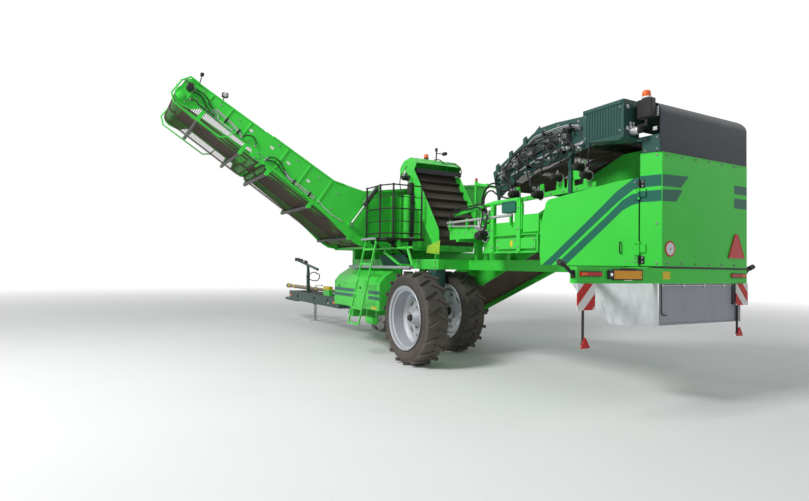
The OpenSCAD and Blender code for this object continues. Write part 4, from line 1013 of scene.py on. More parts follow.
class HARVESTER_OT_rear(bpy.types.Operator):
    """Adds seams, hinges, bolts, labels, lamps and latches of the rear"""
    bl_idname = "harvester.rear"
    bl_label = "Rear Fittings"

    def execute(self, context):
        self.seams()
        self.hinges()
        self.plate_lamp()
        self.curtain_fittings()
        self.reflectors()
        return {"FINISHED"}

    def seams(self):
        strip = beam([on_door(l, z, 0.003) for l, z in ((0.0, 1.738), (0.262, 1.738), (0.262, 1.764),
                    (0.0, 1.764))], 0.012)
        piece("rear_seam", [block((1.472, -0.006, 1.738), (3.336, 0.012, 1.764), 0.003), strip], "hose")
        edges = [rod(at(1.470, -0.002, 1.768), at(1.470, -0.002, 3.196), 0.005, 8),
            beam([at(x, -0.003, z) for x, z in ((1.475, 3.188), (3.325, 3.188), (3.325, 3.200),
                    (1.475, 3.200))], 0.005), beam([on_door(l, z, 0.002)
                    for l, z in ((0.004, 3.188), (0.26, 3.188), (0.26, 3.200), (0.004, 3.200))], 0.005)]
        piece("panel_edge_folds", edges, "leaf")
        places = [at(1.58 + 0.29 * i, 0.0, z) for i in range(6) for z in (1.80, 3.165)]
        piece("panel_bolts", [bolts(places, BACKWARDS),
                bolts([on_door(0.06, z) for z in (1.80, 2.30, 3.165)], DOOR_OUT)], "zinc")
        bolted("door_bolts", [on_door(l, 1.82, 0.001) for l in (0.36, 0.45)], DOOR_OUT, body="side_door")

    def hinges(self):
        fixed, swung, heads, door_heads, knuckles, door_knuckles = [], [], [], [], [], []
        for z in (1.84, 2.81):
            fixed.append(beam([on_door(l, z + d, 0.006)
                        for l, d in ((0.205, -0.05), (0.262, -0.05), (0.262, 0.05), (0.205, 0.05))], 0.008))
            swung.append(beam([on_door(l, z + d, 0.006)
                        for l, d in ((0.286, -0.05), (0.345, -0.05), (0.345, 0.05), (0.286, 0.05))], 0.008))
            heads += [on_door(0.228, z + d, 0.010) for d in (-0.028, 0.028)]
            door_heads += [on_door(0.322, z + d, 0.010) for d in (-0.028, 0.028)]
            knuckles.append(turned_part(on_door(HINGE_L, z - 0.05, 0.026), UPWARDS, [
                (0, 0.010), (0.003, 0.0128), (0.047, 0.0128), (0.049, 0.010)], 16))
            door_knuckles.append(turned_part(on_door(HINGE_L, z + 0.001, 0.026), UPWARDS, [
                (0, 0.010), (0.003, 0.0128), (0.046, 0.0128), (0.049, 0.010)], 16))
        seal = beam([on_door(l, z, -0.027) for l, z in ((0.235, 1.766), (0.285, 1.766), (0.285, 2.89),
                    (0.235, 2.89))], 0.008)
        piece("hinge_seal", [seal], "hose")
        piece("hinge_leaves", fixed + knuckles, "black")
        piece("door_hinge_leaves", swung + door_knuckles, "black", "side_door")
        bolted("hinge_bolts", heads, DOOR_OUT, 0.018)
        bolted("door_hinge_bolts", door_heads, DOOR_OUT, 0.018, body="side_door")
        grip = bent_tube([on_door(0.50, 1.93, -0.002), on_door(0.50, 1.93, 0.045), on_door(0.50, 2.07, 0.045),
                on_door(0.50, 2.07, -0.002)], 0.009)
        piece("door_handle", [grip], "black", "side_door")

    def plate_lamp(self):
        """The bare orange sheet's holder and light, the box with its knob and the tail strips."""
        box = block((0.487, -0.030, 1.600), (0.570, -0.001, 1.704), 0.006)
        piece("lamp_box", [box, block((0.70, -0.030, 1.708), (0.96, -0.002, 1.726), 0.005)], "cap")
        knob = turned_part(at(0.528, -0.030, 1.652), BACKWARDS,
            [(0, 0.020), (0.004, 0.020), (0.005, 0.013), (0.012, 0.015), (0.016, 0.009)])
        piece("lamp_knob", [knob], "chrome")
        piece("plate_light", [block((0.76, -0.026, 1.582), (0.90, -0.006, 1.593), 0.003)], "white")
        piece("bare_yellow_label", [block((1.49, -0.004, 1.602), (1.635, 0.002, 1.698), 0.0015)], "yellow")
        frame_parts = [block((x0, -0.024, z0), (x1, -0.002, z1), 0.003)
            for x0, x1, z0, z1 in ((0.572, 1.088, 1.588, 1.599), (0.572, 1.088, 1.705, 1.714),
                (0.572, 0.581, 1.588, 1.714), (1.079, 1.088, 1.588, 1.714))]
        piece("sheet_holder", frame_parts, "cap")
        rivets = bolts([at(x, -0.0225, 1.652) for x in (0.61, 1.05)], BACKWARDS, 0.010, 0.003)
        piece("sheet_rivets", [rivets], "zinc")
        rims = [block((x + 0.004, -0.025, z), (x + 0.336, -0.003, z + 0.008), 0.002) for x in (0.045, 2.955)
            for z in (1.628, 1.679)]
        piece("tail_strip_frames", rims, "cap")
        piece("tail_strip_turn_lamps", [block((x0, -0.0245, 1.640), (x0 + 0.085, -0.010, 1.675), 0.003)
                                        for x0 in (0.060, 3.195)], "orange")
        screws = bolts([at(1.63, -0.0075, 1.985)], BACKWARDS, 0.016, 0.004)
        piece("round_plate_screw", [screws], "zinc")

    def curtain_fittings(self):
        clips = [block((x - 0.012, 0.022, 1.495), (x + 0.012, 0.034, 1.552), 0.003)
            for x in (1.52, 1.96, 2.40, 2.84, 3.20)]
        rail = block((1.475, 0.020, 1.520), (3.245, 0.034, 1.534), 0.003)
        piece("curtain_rail", clips + [rail], "steel")
        piece("curtain_latch", [bent_tube([at(1.50, 0.020, 1.545), at(1.50, 0.020, 1.155),
                    at(1.60, 0.020, 1.150)], 0.007)], "hose")
        straps = [block((3.030, 0.028, 1.27), (3.048, 0.034, 1.55), 0.001),
                  block((3.026, 0.022, 1.262), (3.052, 0.037, 1.290), 0.003)]
        piece("curtain_strap", straps, "hose")
        hem = [block((1.474, 0.029, 1.024), (3.246, 0.036, 1.040), 0.002)]
        # The hem of the rear curtain is painted darker grey like the curtain, as painted shade
        piece("curtain_hem", hem, "grey_canvas")

    def reflectors(self):
        """Raised rims of the hanging reflectors and the slow-vehicle triangle."""
        rims = []
        for x in REFLECTORS:
            corners = [at(x - 0.070, -0.021, 0.830), at(x + 0.070, -0.021, 0.830), at(x, -0.021, 0.950)]
            rims.append(bent_tube(corners, 0.0045, closed=True, round_by=0.008))
        rims.append(bent_tube([at(2.880, -0.012, 1.900), at(3.260, -0.012, 1.900), at(3.100, -0.012, 2.228),
                    at(3.040, -0.012, 2.228)], 0.005, closed=True, round_by=0.012))
        piece("reflector_rims", rims, "red")


class HARVESTER_OT_top(bpy.types.Operator):
    """Adds the beacon, the box's ribs, the motor and the clips at the top of the rear"""
    bl_idname = "harvester.top"
    bl_label = "Box and Beacon"

    def execute(self, context):
        lens_part = turned_part(at(1.38, 0.16, 3.918), UPWARDS, [
            (0, 0.052), (0.006, 0.055), (0.058, 0.053), (0.074, 0.042), (0.081, 0.020), (0.082, 0.004)], 32)
        piece("beacon_lens", [lens_part], "orange", slot="orange_lamp")
        ring = turned_part(at(1.38, 0.16, 3.892), UPWARDS,
            [(0, 0.050), (0.003, 0.058), (0.022, 0.058), (0.026, 0.052)], 32)
        piece("beacon_ring", [ring], "white")
        housing = block((1.33, 0.05, 3.64), (1.42, 0.27, 3.885), 0.012)
        parts = [rod(at(1.38, 0.16, 3.545), at(1.38, 0.16, 3.893), 0.020, 16, 0.002),
                 block((1.358, 0.138, 3.54), (1.402, 0.325, 3.58), 0.006), housing,
                 block((1.345, 0.10, 3.70), (1.452, 0.22, 3.74), 0.005)]
        piece("beacon_post", parts, "black", "chassis", "beacons")
        self.box()
        self.motor_unit()
        self.cover()
        return {"FINISHED"}

    def box(self):
        rib = slab((-0.006, -0.011, 0), (0.006, 0.011, 0.40), 0.004)
        ribs = [repeat(rib, [Matrix.Translation(at(1.146, 0.385 + 0.045 * i, 3.455)) for i in range(13)])]
        lid = [beam(beside(1.142, ((0.335, 3.845), (0.975, 3.838), (0.975, 3.878), (0.335, 3.885))), 0.012),
            block((1.15, 0.312, 3.50), (1.43, 0.322, 3.52), 0.003),
            block((1.15, 0.312, 3.80), (1.43, 0.322, 3.82), 0.003)]
        piece("box_ribs", ribs + lid, "pine")
        bolted("box_bolts", [at(1.148, y, z) for y in (0.37, 0.94) for z in (3.50, 3.80)], LEFTWARDS, 0.020)
        hinge_bits = [block((1.20, 0.306, z), (1.25, 0.322, z + 0.05), 0.004) for z in (3.50, 3.78)]
        piece("box_latches", hinge_bits, "steel")

    def motor_unit(self):
        place = at(1.30, 0.40, 3.49)
        piece("top_motor", motor(place, BACKWARDS, 0.050, 0.20), "steel")
        piece("top_motor_bracket", [block((1.23, 0.39, 3.40), (1.452, 0.41, 3.56), 0.004),
                                    block((1.20, 0.30, 3.405), (1.452, 0.42, 3.425), 0.004)], "pine")
        cap = turned_part(at(1.30, 0.202, 3.49), BACKWARDS,
            [(0, 0.046), (0.028, 0.046), (0.036, 0.038), (0.037, 0.004)], 20)
        piece("top_motor_cap", [cap], "cap")
        hose_bank("top_motor_hoses", [[at(1.278, 0.31, 3.56), at(1.27, 0.31, 3.60), at(1.28, 0.42, 3.64),
                    at(1.36, 0.62, 3.44), at(1.40, 0.80, 3.42), at(1.452, 0.88, 3.50)],
                [at(1.322, 0.31, 3.56), at(1.33, 0.31, 3.595), at(1.36, 0.36, 3.62), at(1.452, 0.47, 3.56)]],
            0.010)

    def cover(self):
        clips = [block((1.436, 0.05, 3.48), (1.452, 0.11, 3.53), 0.003),
            block((1.436, 0.03, 3.66), (1.450, 0.09, 3.78), 0.003)]
        piece("cover_clips", clips, "steel")
        panel = beam(beside(1.446, ((0.0, 3.205), (0.27, 3.205), (0.27, 3.43), (0.02, 3.43))), 0.006)
        piece("cover_foot", [panel], "pine")
        bolted("cover_foot_bolts", [at(1.443, y, z) for y in (0.05, 0.22) for z in (3.24, 3.39)], LEFTWARDS,
            0.020)


class HARVESTER_OT_arm(bpy.types.Operator):
    """Adds the valves, pipes, hoses and motors on the left face of the arm"""
    bl_idname = "harvester.arm"
    bl_label = "Arm Hydraulics"

    BLOCKS = ((2.95, 3.29), (2.62, 3.44), (2.28, 3.58), (1.90, 3.64), (1.55, 3.66))

    def execute(self, context):
        self.blocks()
        self.pipes()
        self.hoses()
        self.motors()
        self.beam()
        return {"FINISHED"}

    def blocks(self):
        coils, nuts = [], []
        for y, z in self.BLOCKS:
            for d in (-0.04, 0.04):
                coils.append(valve(at(1.40, y + d, z + 0.058), UPWARDS, 0.13))
                nuts.append(at(1.341, y + d, z + 0.032))
                nuts.append(at(1.341, y + d, z - 0.032))
        piece("valve_coils", coils, "cap")
        bolted("valve_nuts", nuts, LEFTWARDS, 0.030, 0.016)
        fins = []
        for pairs in (((3.30, 3.415), (2.90, 3.60), (2.83, 3.44), (3.18, 3.27)),
                      ((2.81, 3.60), (2.58, 3.76), (2.49, 3.62), (2.70, 3.50)),
                      ((2.46, 3.80), (2.19, 4.00), (2.10, 3.80), (2.36, 3.66))):
            fins.append(beam(beside(1.478, pairs), 0.012))
        piece("arm_fins", fins, "pine")
        bolted("arm_bolts", beside(1.449, ((3.2, 3.18), (3.02, 3.42), (2.05, 3.88), (1.75, 3.90),
                    (1.35, 3.88), (1.25, 3.58), (1.05, 3.76), (0.62, 3.62), (1.85, 3.42), (2.45, 3.36))),
            LEFTWARDS, 0.032)

    def pipes(self):
        runs = []
        upper = ((2.95, 3.40), (2.74, 3.47), (2.47, 3.60), (2.19, 3.755), (1.77, 3.79), (1.53, 3.79),
            (1.30, 3.74))
        for k in range(4):
            runs.append(tucked(1.452, 1.428 - 0.024 * k, [(y - 0.012 * k, z + 0.016 * k) for y, z in upper]))
        lower = ((2.78, 3.30), (2.52, 3.36), (2.20, 3.46), (1.80, 3.52), (1.42, 3.54), (1.22, 3.56))
        for k in range(3):
            runs.append(tucked(1.452, 1.430 - 0.026 * k, [(y, z - 0.022 * k) for y, z in lower]))
        piece("arm_pipes", [bent_tube(run, 0.0085, round_by=0.03) for run in runs], "steel")
        clamps = []
        for y, z in ((2.60, 3.575), (1.98, 3.805), (1.42, 3.80)):
            clamps.append(block((1.335, y - 0.02, z - 0.05), (1.452, y + 0.02, z + 0.05), 0.006))
        for y, z in ((2.36, 3.385), (1.62, 3.50)):
            clamps.append(block((1.360, y - 0.02, z - 0.055), (1.452, y + 0.02, z + 0.035), 0.006))
        piece("pipe_clamps", clamps, "cap")

    def hoses(self):
        n, o = 1.342, 1.27
        loops = [((1.93, 3.66), (1.79, 3.62), (1.62, 3.53), (1.57, 3.41), (1.67, 3.31), (1.88, 3.28),
                (2.16, 3.33), (2.39, 3.46), (2.43, 3.56), (2.31, 3.60)),
            ((1.52, 3.63), (1.38, 3.56), (1.30, 3.42), (1.44, 3.28), (1.79, 3.22), (2.06, 3.18), (2.18, 3.11),
                (2.14, 2.97)), ((2.92, 3.26), (2.80, 3.22), (2.70, 3.12), (2.66, 3.00)),
            ((2.65, 3.47), (2.50, 3.58), (2.35, 3.64), (2.10, 3.67), (1.86, 3.62)),
            ((2.32, 3.55), (2.20, 3.47), (2.02, 3.40), (1.84, 3.42), (1.66, 3.52), (1.58, 3.62)),
            ((2.98, 3.32), (3.08, 3.24), (3.06, 3.10), (2.92, 3.02), (2.72, 3.02), (2.58, 3.12), (2.50, 3.28),
                (2.58, 3.41)),]
        runs = [tucked(n, o + 0.022 * (i % 3), run) for i, run in enumerate(loops)]
        hose_bank("arm_hoses", runs, 0.016)
        thin = [
            ((2.60, 3.40), (2.50, 3.30), (2.34, 3.24), (2.10, 3.26), (1.96, 3.36), (1.90, 3.60)),
            ((2.25, 3.62), (2.12, 3.72), (1.94, 3.74), (1.74, 3.70), (1.58, 3.68)),
            ((2.90, 3.34), (2.80, 3.42), (2.72, 3.48), (2.66, 3.44)),
            ((1.86, 3.60), (1.76, 3.48), (1.58, 3.36), (1.40, 3.40), (1.34, 3.52), (1.50, 3.64)),
            ((1.58, 3.70), (1.44, 3.76), (1.28, 3.74), (1.16, 3.64), (1.12, 3.52)),
        ]
        hose_bank("arm_thin_hoses", [tucked(n, 1.315 - 0.03 * (i % 2), run) for i, run in enumerate(thin)],
            0.011)

    def motors(self):
        silver, dark = [], []
        for y, z, r in ((1.26, 3.18, 0.055), (1.12, 3.04, 0.050), (2.10, 2.87, 0.060), (2.66, 2.93, 0.060),
                (1.69, 3.08, 0.050)):
            dark += motor(at(1.430, y, z), LEFTWARDS, r, 0.17)
            silver.append(turned_part(at(1.436, y, z), LEFTWARDS,
                    [(0, r * 1.5), (0.012, r * 1.5), (0.012, r * 1.3)], 6))
        piece("web_motors", dark, "black")
        piece("web_motor_flanges", silver, "steel")
        white = turned_part(at(1.445, 1.31, 3.46), LEFTWARDS,
            [(0, 0.034), (0.05, 0.034), (0.056, 0.028), (0.066, 0.028), (0.070, 0.010)], 20)
        piece("gauge_cap", [white], "white")
        blocks = [block((1.36, y - 0.04, z - 0.03), (1.452, y + 0.04, z + 0.03), 0.005) for y, z in (
            (1.52, 3.50), (2.12, 3.40), (2.32, 3.24), (1.89, 3.40))]
        coils = [valve(at(1.37, y, z), LEFTWARDS, 0.09)
            for y, z in ((1.52, 3.50), (2.12, 3.40), (2.32, 3.24), (1.89, 3.40))]
        piece("small_valves", blocks + coils, "steel")
        hose_bank("web_motor_hoses", [[at(1.352, 1.235, 3.245), at(1.35, 1.22, 3.30), at(1.32, 1.22, 3.40),
                    at(1.342, 1.50, 3.60)], [at(1.352, 2.075, 2.94), at(1.35, 2.05, 3.00),
                    at(1.30, 1.96, 3.14), at(1.29, 1.92, 3.36), at(1.342, 1.88, 3.60)],
                [at(1.352, 2.125, 2.94), at(1.34, 2.16, 3.02), at(1.28, 2.26, 3.22), at(1.342, 2.30, 3.54)],
                [at(1.352, 2.635, 3.00), at(1.34, 2.60, 3.08), at(1.29, 2.56, 3.24), at(1.342, 2.60, 3.40)],
                [at(1.352, 2.685, 3.00), at(1.34, 2.74, 3.08), at(1.30, 2.88, 3.16), at(1.342, 2.93, 3.25)],
                [at(1.352, 1.67, 3.14), at(1.34, 1.62, 3.22), at(1.30, 1.54, 3.40), at(1.342, 1.55, 3.61)],
                [at(1.352, 1.095, 3.10), at(1.34, 1.06, 3.18), at(1.30, 1.02, 3.34), at(1.36, 1.04, 3.48),
                    at(1.452, 1.06, 3.56)]], 0.011)

    def beam(self):
        """Bright green rail under the arm with brackets for the motors."""
        rail = beam(beside(1.444, ((1.00, 2.95), (2.75, 2.87), (2.75, 2.80), (1.00, 2.86))), 0.030)
        parts = [rail]
        for y, z in ((1.48, 2.90), (1.16, 2.95), (1.38, 3.08), (1.69, 2.97), (2.10, 2.88), (2.66, 2.90)):
            parts.append(beam(beside(1.440, ((y - 0.09, z - 0.06), (y + 0.09, z - 0.06), (y + 0.06, z + 0.16),
                        (y - 0.06, z + 0.16))), 0.014))
        parts.append(beam(beside(1.440, ((1.20, 3.10), (1.32, 3.10), (1.32, 3.26), (1.20, 3.26))), 0.014))
        parts.append(block((1.425, 1.03, 1.842), (1.455, 1.10, 2.90), 0.004))
        parts.append(block((1.425, 2.64, 1.842), (1.455, 2.72, 2.85), 0.004))
        piece("motor_rail", parts, "leaf")
        bolted("motor_rail_bolts", beside(1.427, [(1.1 + 0.26 * i, 2.90 - 0.012 * i) for i in range(7)]),
            LEFTWARDS, 0.024)


LADDER_PITCH, RUNGS, LADDER_LEAN = 0.290, 6, math.radians(12)


class HARVESTER_OT_picking(bpy.types.Operator):
    """Adds the tubes, boxes, motor and hoses of the picking table"""
    bl_idname = "harvester.picking"
    bl_label = "Picking Table"

    def execute(self, context):
        tubes = [rod(at(0.862, 2.11, 2.520), at(0.862, 3.88, 2.500), 0.022, 16, 0.002),
                 rod(at(0.870, 2.78, 2.390), at(0.870, 3.88, 2.440), 0.014, 12, 0.002)]
        piece("picking_tubes", tubes, "steel")
        holders = [block((0.856, y - 0.015, 2.37), (0.914, y + 0.015, 2.545), 0.003)
            for y in (2.16, 2.85, 3.30, 3.82)]
        piece("tube_holders", holders, "leaf")
        box = [block((0.838, 2.02, 2.56), (0.975, 2.34, 2.73), 0.008),
            block((0.832, 2.03, 2.70), (0.982, 2.33, 2.735), 0.006)]
        piece("sensor_box", box, "teal")
        green = [block((0.885, 1.56, 2.24), (1.000, 1.90, 2.51), 0.008),
            block((0.868, 1.90, 2.29), (0.914, 2.07, 2.69), 0.005),
            beam([at(x, y, z) for x, y, z in ((0.872, 1.60, 2.00), (0.872, 1.60, 2.16), (0.872, 2.50, 2.16),
                    (0.872, 2.50, 2.00))], 0.012), block((0.868, 1.58, 2.205), (0.914, 2.86, 2.222), 0.003),
            block((0.860, 1.545, 1.962), (0.914, 1.575, 2.21), 0.003)]
        piece("picking_covers", green, "leaf")
        piece("picking_bolts", [bolts(beside(0.866,
                    [(1.64, 2.03), (1.64, 2.13), (2.46, 2.03), (2.46, 2.13), (2.05, 2.13)]), LEFTWARDS,
                    0.024), bolts(beside(0.851, [(1.96, z) for z in (2.03, 2.30, 2.62)]
                    + [(2.59, z) for z in (2.03, 2.30, 2.62)]), LEFTWARDS, 0.024),
                bolts(beside(0.911, [(3.0 + 0.2 * i, 2.31) for i in range(5)]), LEFTWARDS, 0.022)], "zinc")
        piece("picking_label", [block((0.862, 2.10, 2.035), (0.8665, 2.15, 2.125), 0.001)], "yellow")
        piece("picking_motor", motor(at(0.905, 2.82, 2.225), LEFTWARDS, 0.068, 0.20), "black")
        flange = turned_part(at(0.912, 2.82, 2.225), LEFTWARDS,
            [(0, 0.105), (0.014, 0.105), (0.014, 0.09), (0.02, 0.09)], 8)
        piece("picking_motor_flange", [flange], "steel")
        piece("picking_valves", [block((0.83, 2.86, 2.32), (0.91, 3.00, 2.40), 0.005),
                valve(at(0.87, 2.90, 2.398), UPWARDS, 0.10), valve(at(0.87, 2.96, 2.398), UPWARDS, 0.10),
                valve(at(0.84, 2.93, 2.36), LEFTWARDS, 0.08)], "steel")
        self.hoses()
        self.posts()
        return {"FINISHED"}

    def hoses(self):
        hose_bank("table_hoses", [[at(0.912, 3.84, 2.45), at(0.866, 3.83, 2.52), at(0.862, 3.80, 2.62),
                    at(0.872, 3.62, 2.725), at(0.862, 3.21, 2.745), at(0.840, 2.84, 2.74),
                    at(0.825, 2.70, 2.64), at(0.825, 2.72, 2.40), at(0.815, 2.80, 2.31)],
                [at(0.912, 3.76, 2.43), at(0.866, 3.74, 2.56), at(0.866, 3.55, 2.68), at(0.852, 3.18, 2.705),
                    at(0.836, 2.92, 2.70), at(0.820, 2.80, 2.58), at(0.815, 2.83, 2.40),
                    at(0.815, 2.85, 2.315)], [at(0.830, 2.88, 2.34), at(0.790, 2.84, 2.30),
                    at(0.772, 2.72, 2.28), at(0.782, 2.65, 2.38), at(0.800, 2.66, 2.52),
                    at(0.852, 2.67, 2.60)]], 0.013)
        hose_bank("big_loops", [[at(1.335, 3.40, 2.66), at(1.27, 3.37, 2.76), at(1.25, 3.33, 2.89),
                    at(1.24, 3.31, 3.02), at(1.25, 3.17, 3.11), at(1.27, 2.99, 3.06), at(1.29, 2.92, 2.92),
                    at(1.30, 2.97, 2.82), at(1.36, 2.86, 2.80), at(1.436, 2.70, 2.83)],
                [at(1.335, 3.46, 2.64), at(1.30, 3.45, 2.80), at(1.29, 3.40, 3.00), at(1.28, 3.26, 3.13),
                    at(1.30, 3.12, 3.17), at(1.452, 3.06, 3.14)],
                [at(1.335, 3.34, 2.64), at(1.22, 3.28, 2.78), at(1.20, 3.20, 2.98), at(1.22, 3.08, 3.03),
                    at(1.26, 2.98, 2.96), at(1.30, 2.86, 2.90), at(1.436, 2.62, 2.86)]], 0.014)
        # The loops come out of a pipe chest on the middle rail
        chest = block((1.336, 3.28, 2.50), (1.440, 3.54, 2.72), 0.008)
        piece("pipe_chest", [chest, block((1.36, 3.36, 1.842), (1.42, 3.46, 2.52), 0.005)], "leaf")

    def posts(self):
        post = [block((1.50, 3.90, 1.845), (1.545, 3.945, 3.34), 0.004),
                beam(beside(1.522, ((3.91, 3.30), (3.34, 3.17), (3.34, 3.12), (3.91, 3.25))), 0.03)]
        piece("far_post", post, "leaf")
        piece("far_post_cap", [turned_part(at(1.522, 3.922, 3.335), UPWARDS,
                    [(0, 0.026), (0.035, 0.026), (0.05, 0.018), (0.055, 0.003)], 20)], "red")


class HARVESTER_OT_elevator(bpy.types.Operator):
    """Adds the flap, a black strip of painted shade under the hood, beacon, camera post and drive of the
    elevator
    """
    bl_idname = "harvester.elevator"
    bl_label = "Elevator Fittings"

    def execute(self, context):
        flap = beam(beside(0.884, ((4.58, 2.11), (4.16, 2.20), (4.18, 1.94), (4.64, 1.97))), 0.010)
        piece("yellow_green_flap", [flap], "flap")
        bolted("flap_bolts", beside(0.878, ((4.24, 2.15), (4.52, 2.09), (4.26, 1.98), (4.56, 2.01))),
            LEFTWARDS, 0.022)
        # A black strip under the hood's rear edge: painted shade where the inside of the hood lies in shadow
        lip = beam([at(x, y, z) for x, y, z in ((0.882, 5.058, 3.69), (1.968, 5.058, 3.69),
                    (1.968, 5.052, 3.59), (0.882, 5.052, 3.59))], 0.008)
        piece("hood_shade_strip", [lip], "hose")
        self.hood()
        self.edges()
        self.drive()
        self.cleats()
        return {"FINISHED"}

    def hood(self):
        lens_part = turned_part(at(1.31, 5.40, 3.985), UPWARDS,
            [(0, 0.046), (0.006, 0.048), (0.062, 0.046), (0.080, 0.036), (0.088, 0.016), (0.089, 0.003)], 28)
        piece("hood_beacon_lens", [lens_part], "orange", slot="orange_lamp")
        ring = turned_part(at(1.31, 5.40, 3.930), UPWARDS,
            [(0, 0.044), (0.004, 0.052), (0.052, 0.052), (0.058, 0.046)], 28)
        piece("hood_beacon_ring", [ring], "black")
        post = [rod(at(1.56, 5.40, 3.93), at(1.56, 5.40, 4.16), 0.014, 12, 0.002),
            turned_part(at(1.56, 5.40, 4.155), UPWARDS,
                [(0, 0.024), (0.030, 0.030), (0.060, 0.030), (0.072, 0.020), (0.073, 0.003)], 20),
            rod(at(1.56, 5.40, 4.12), at(1.78, 5.40, 4.12), 0.010, 10, 0.002),
            block((1.745, 5.36, 4.10), (1.815, 5.47, 4.165), 0.010),
            turned_part(at(1.78, 5.362, 4.132), BACKWARDS,
                [(0, 0.026), (0.016, 0.026), (0.020, 0.020), (0.012, 0.018)], 16)]
        piece("camera_post", post, "black")
        hose_bank("hood_hoses", [[at(x, y, z)
                    for x, y, z in ((1.40, 5.20, 3.93), (1.43, 5.05, 3.90), (1.52, 5.02, 3.83),
                    (1.64, 5.01, 3.84), (1.78, 5.01, 3.84), (1.90, 5.01, 3.78), (1.94, 5.01, 3.68),
                    (1.90, 5.03, 3.60), (1.82, 5.06, 3.58))]], 0.010)
        ridge = [bolts([at(x, 5.16, 3.892) for x in (0.95, 1.15, 1.70, 1.90)], (0, -0.5, 0.86), 0.022)]
        piece("hood_bolts", ridge, "zinc")

    def edges(self):
        """Folded flanges along the outer plates, with their bolts."""
        parts, heads = [], []
        for x in (0.884, 1.966):
            for v in (0.185, -0.115):
                low, high = (0.12, 1.70) if v > 0 else (0.10, 1.78)
                ends = [up_elevator(x, low, v), up_elevator(x, high, v), up_elevator(x, high, v + 0.024),
                    up_elevator(x, low, v + 0.024)]
                parts.append(beam(ends, 0.026, 0.003))
            heads += [up_elevator(0.8895 if x < 1 else 1.9605, 0.2 + 0.25 * i, 0.15) for i in range(7)]
        piece("elevator_flanges", parts, "leaf")
        half = len(heads) // 2
        piece("elevator_bolts", [bolts(heads[:half], LEFTWARDS, 0.024),
                bolts(heads[half:], RIGHTWARDS, 0.024)], "zinc")

    def drive(self):
        piece("elevator_motor", motor(at(0.885, 5.40, 3.52), LEFTWARDS, 0.052, 0.15), "black")
        guard = block((0.800, 5.15, 3.15), (0.880, 5.30, 3.40), 0.014)
        stay = block((0.86, 5.17, 3.05), (0.892, 5.28, 3.20), 0.004)
        piece("elevator_guard", [guard, stay], "black")
        hose_bank("elevator_hoses", [[at(0.815, 5.385, 3.58), at(0.80, 5.36, 3.62), at(0.79, 5.28, 3.58),
                    at(0.79, 5.22, 3.48), at(0.82, 5.22, 3.40)],
                [at(0.815, 5.425, 3.58), at(0.79, 5.46, 3.62), at(0.76, 5.52, 3.50), at(0.77, 5.46, 3.20),
                    at(0.80, 5.36, 2.90), at(0.80, 5.33, 2.66)]], 0.010)

    def cleats(self):
        """Low moulded ribs between the modelled cleats."""
        bars = [[up_elevator(x, 0.10 + i * 0.078, 0.086) for x in (0.925, 1.925)] for i in range(22)]
        template = slab((-0.5, -0.006, -0.004), (0.5, 0.006, 0.008), 0.003)
        turn = Matrix.Rotation(ELEVATOR_SLOPE, 4, "X")
        places = [Matrix.Translation((a + b) / 2) @ turn for a, b in bars]
        piece("belt_ribs", [repeat(template, places)], "belt")


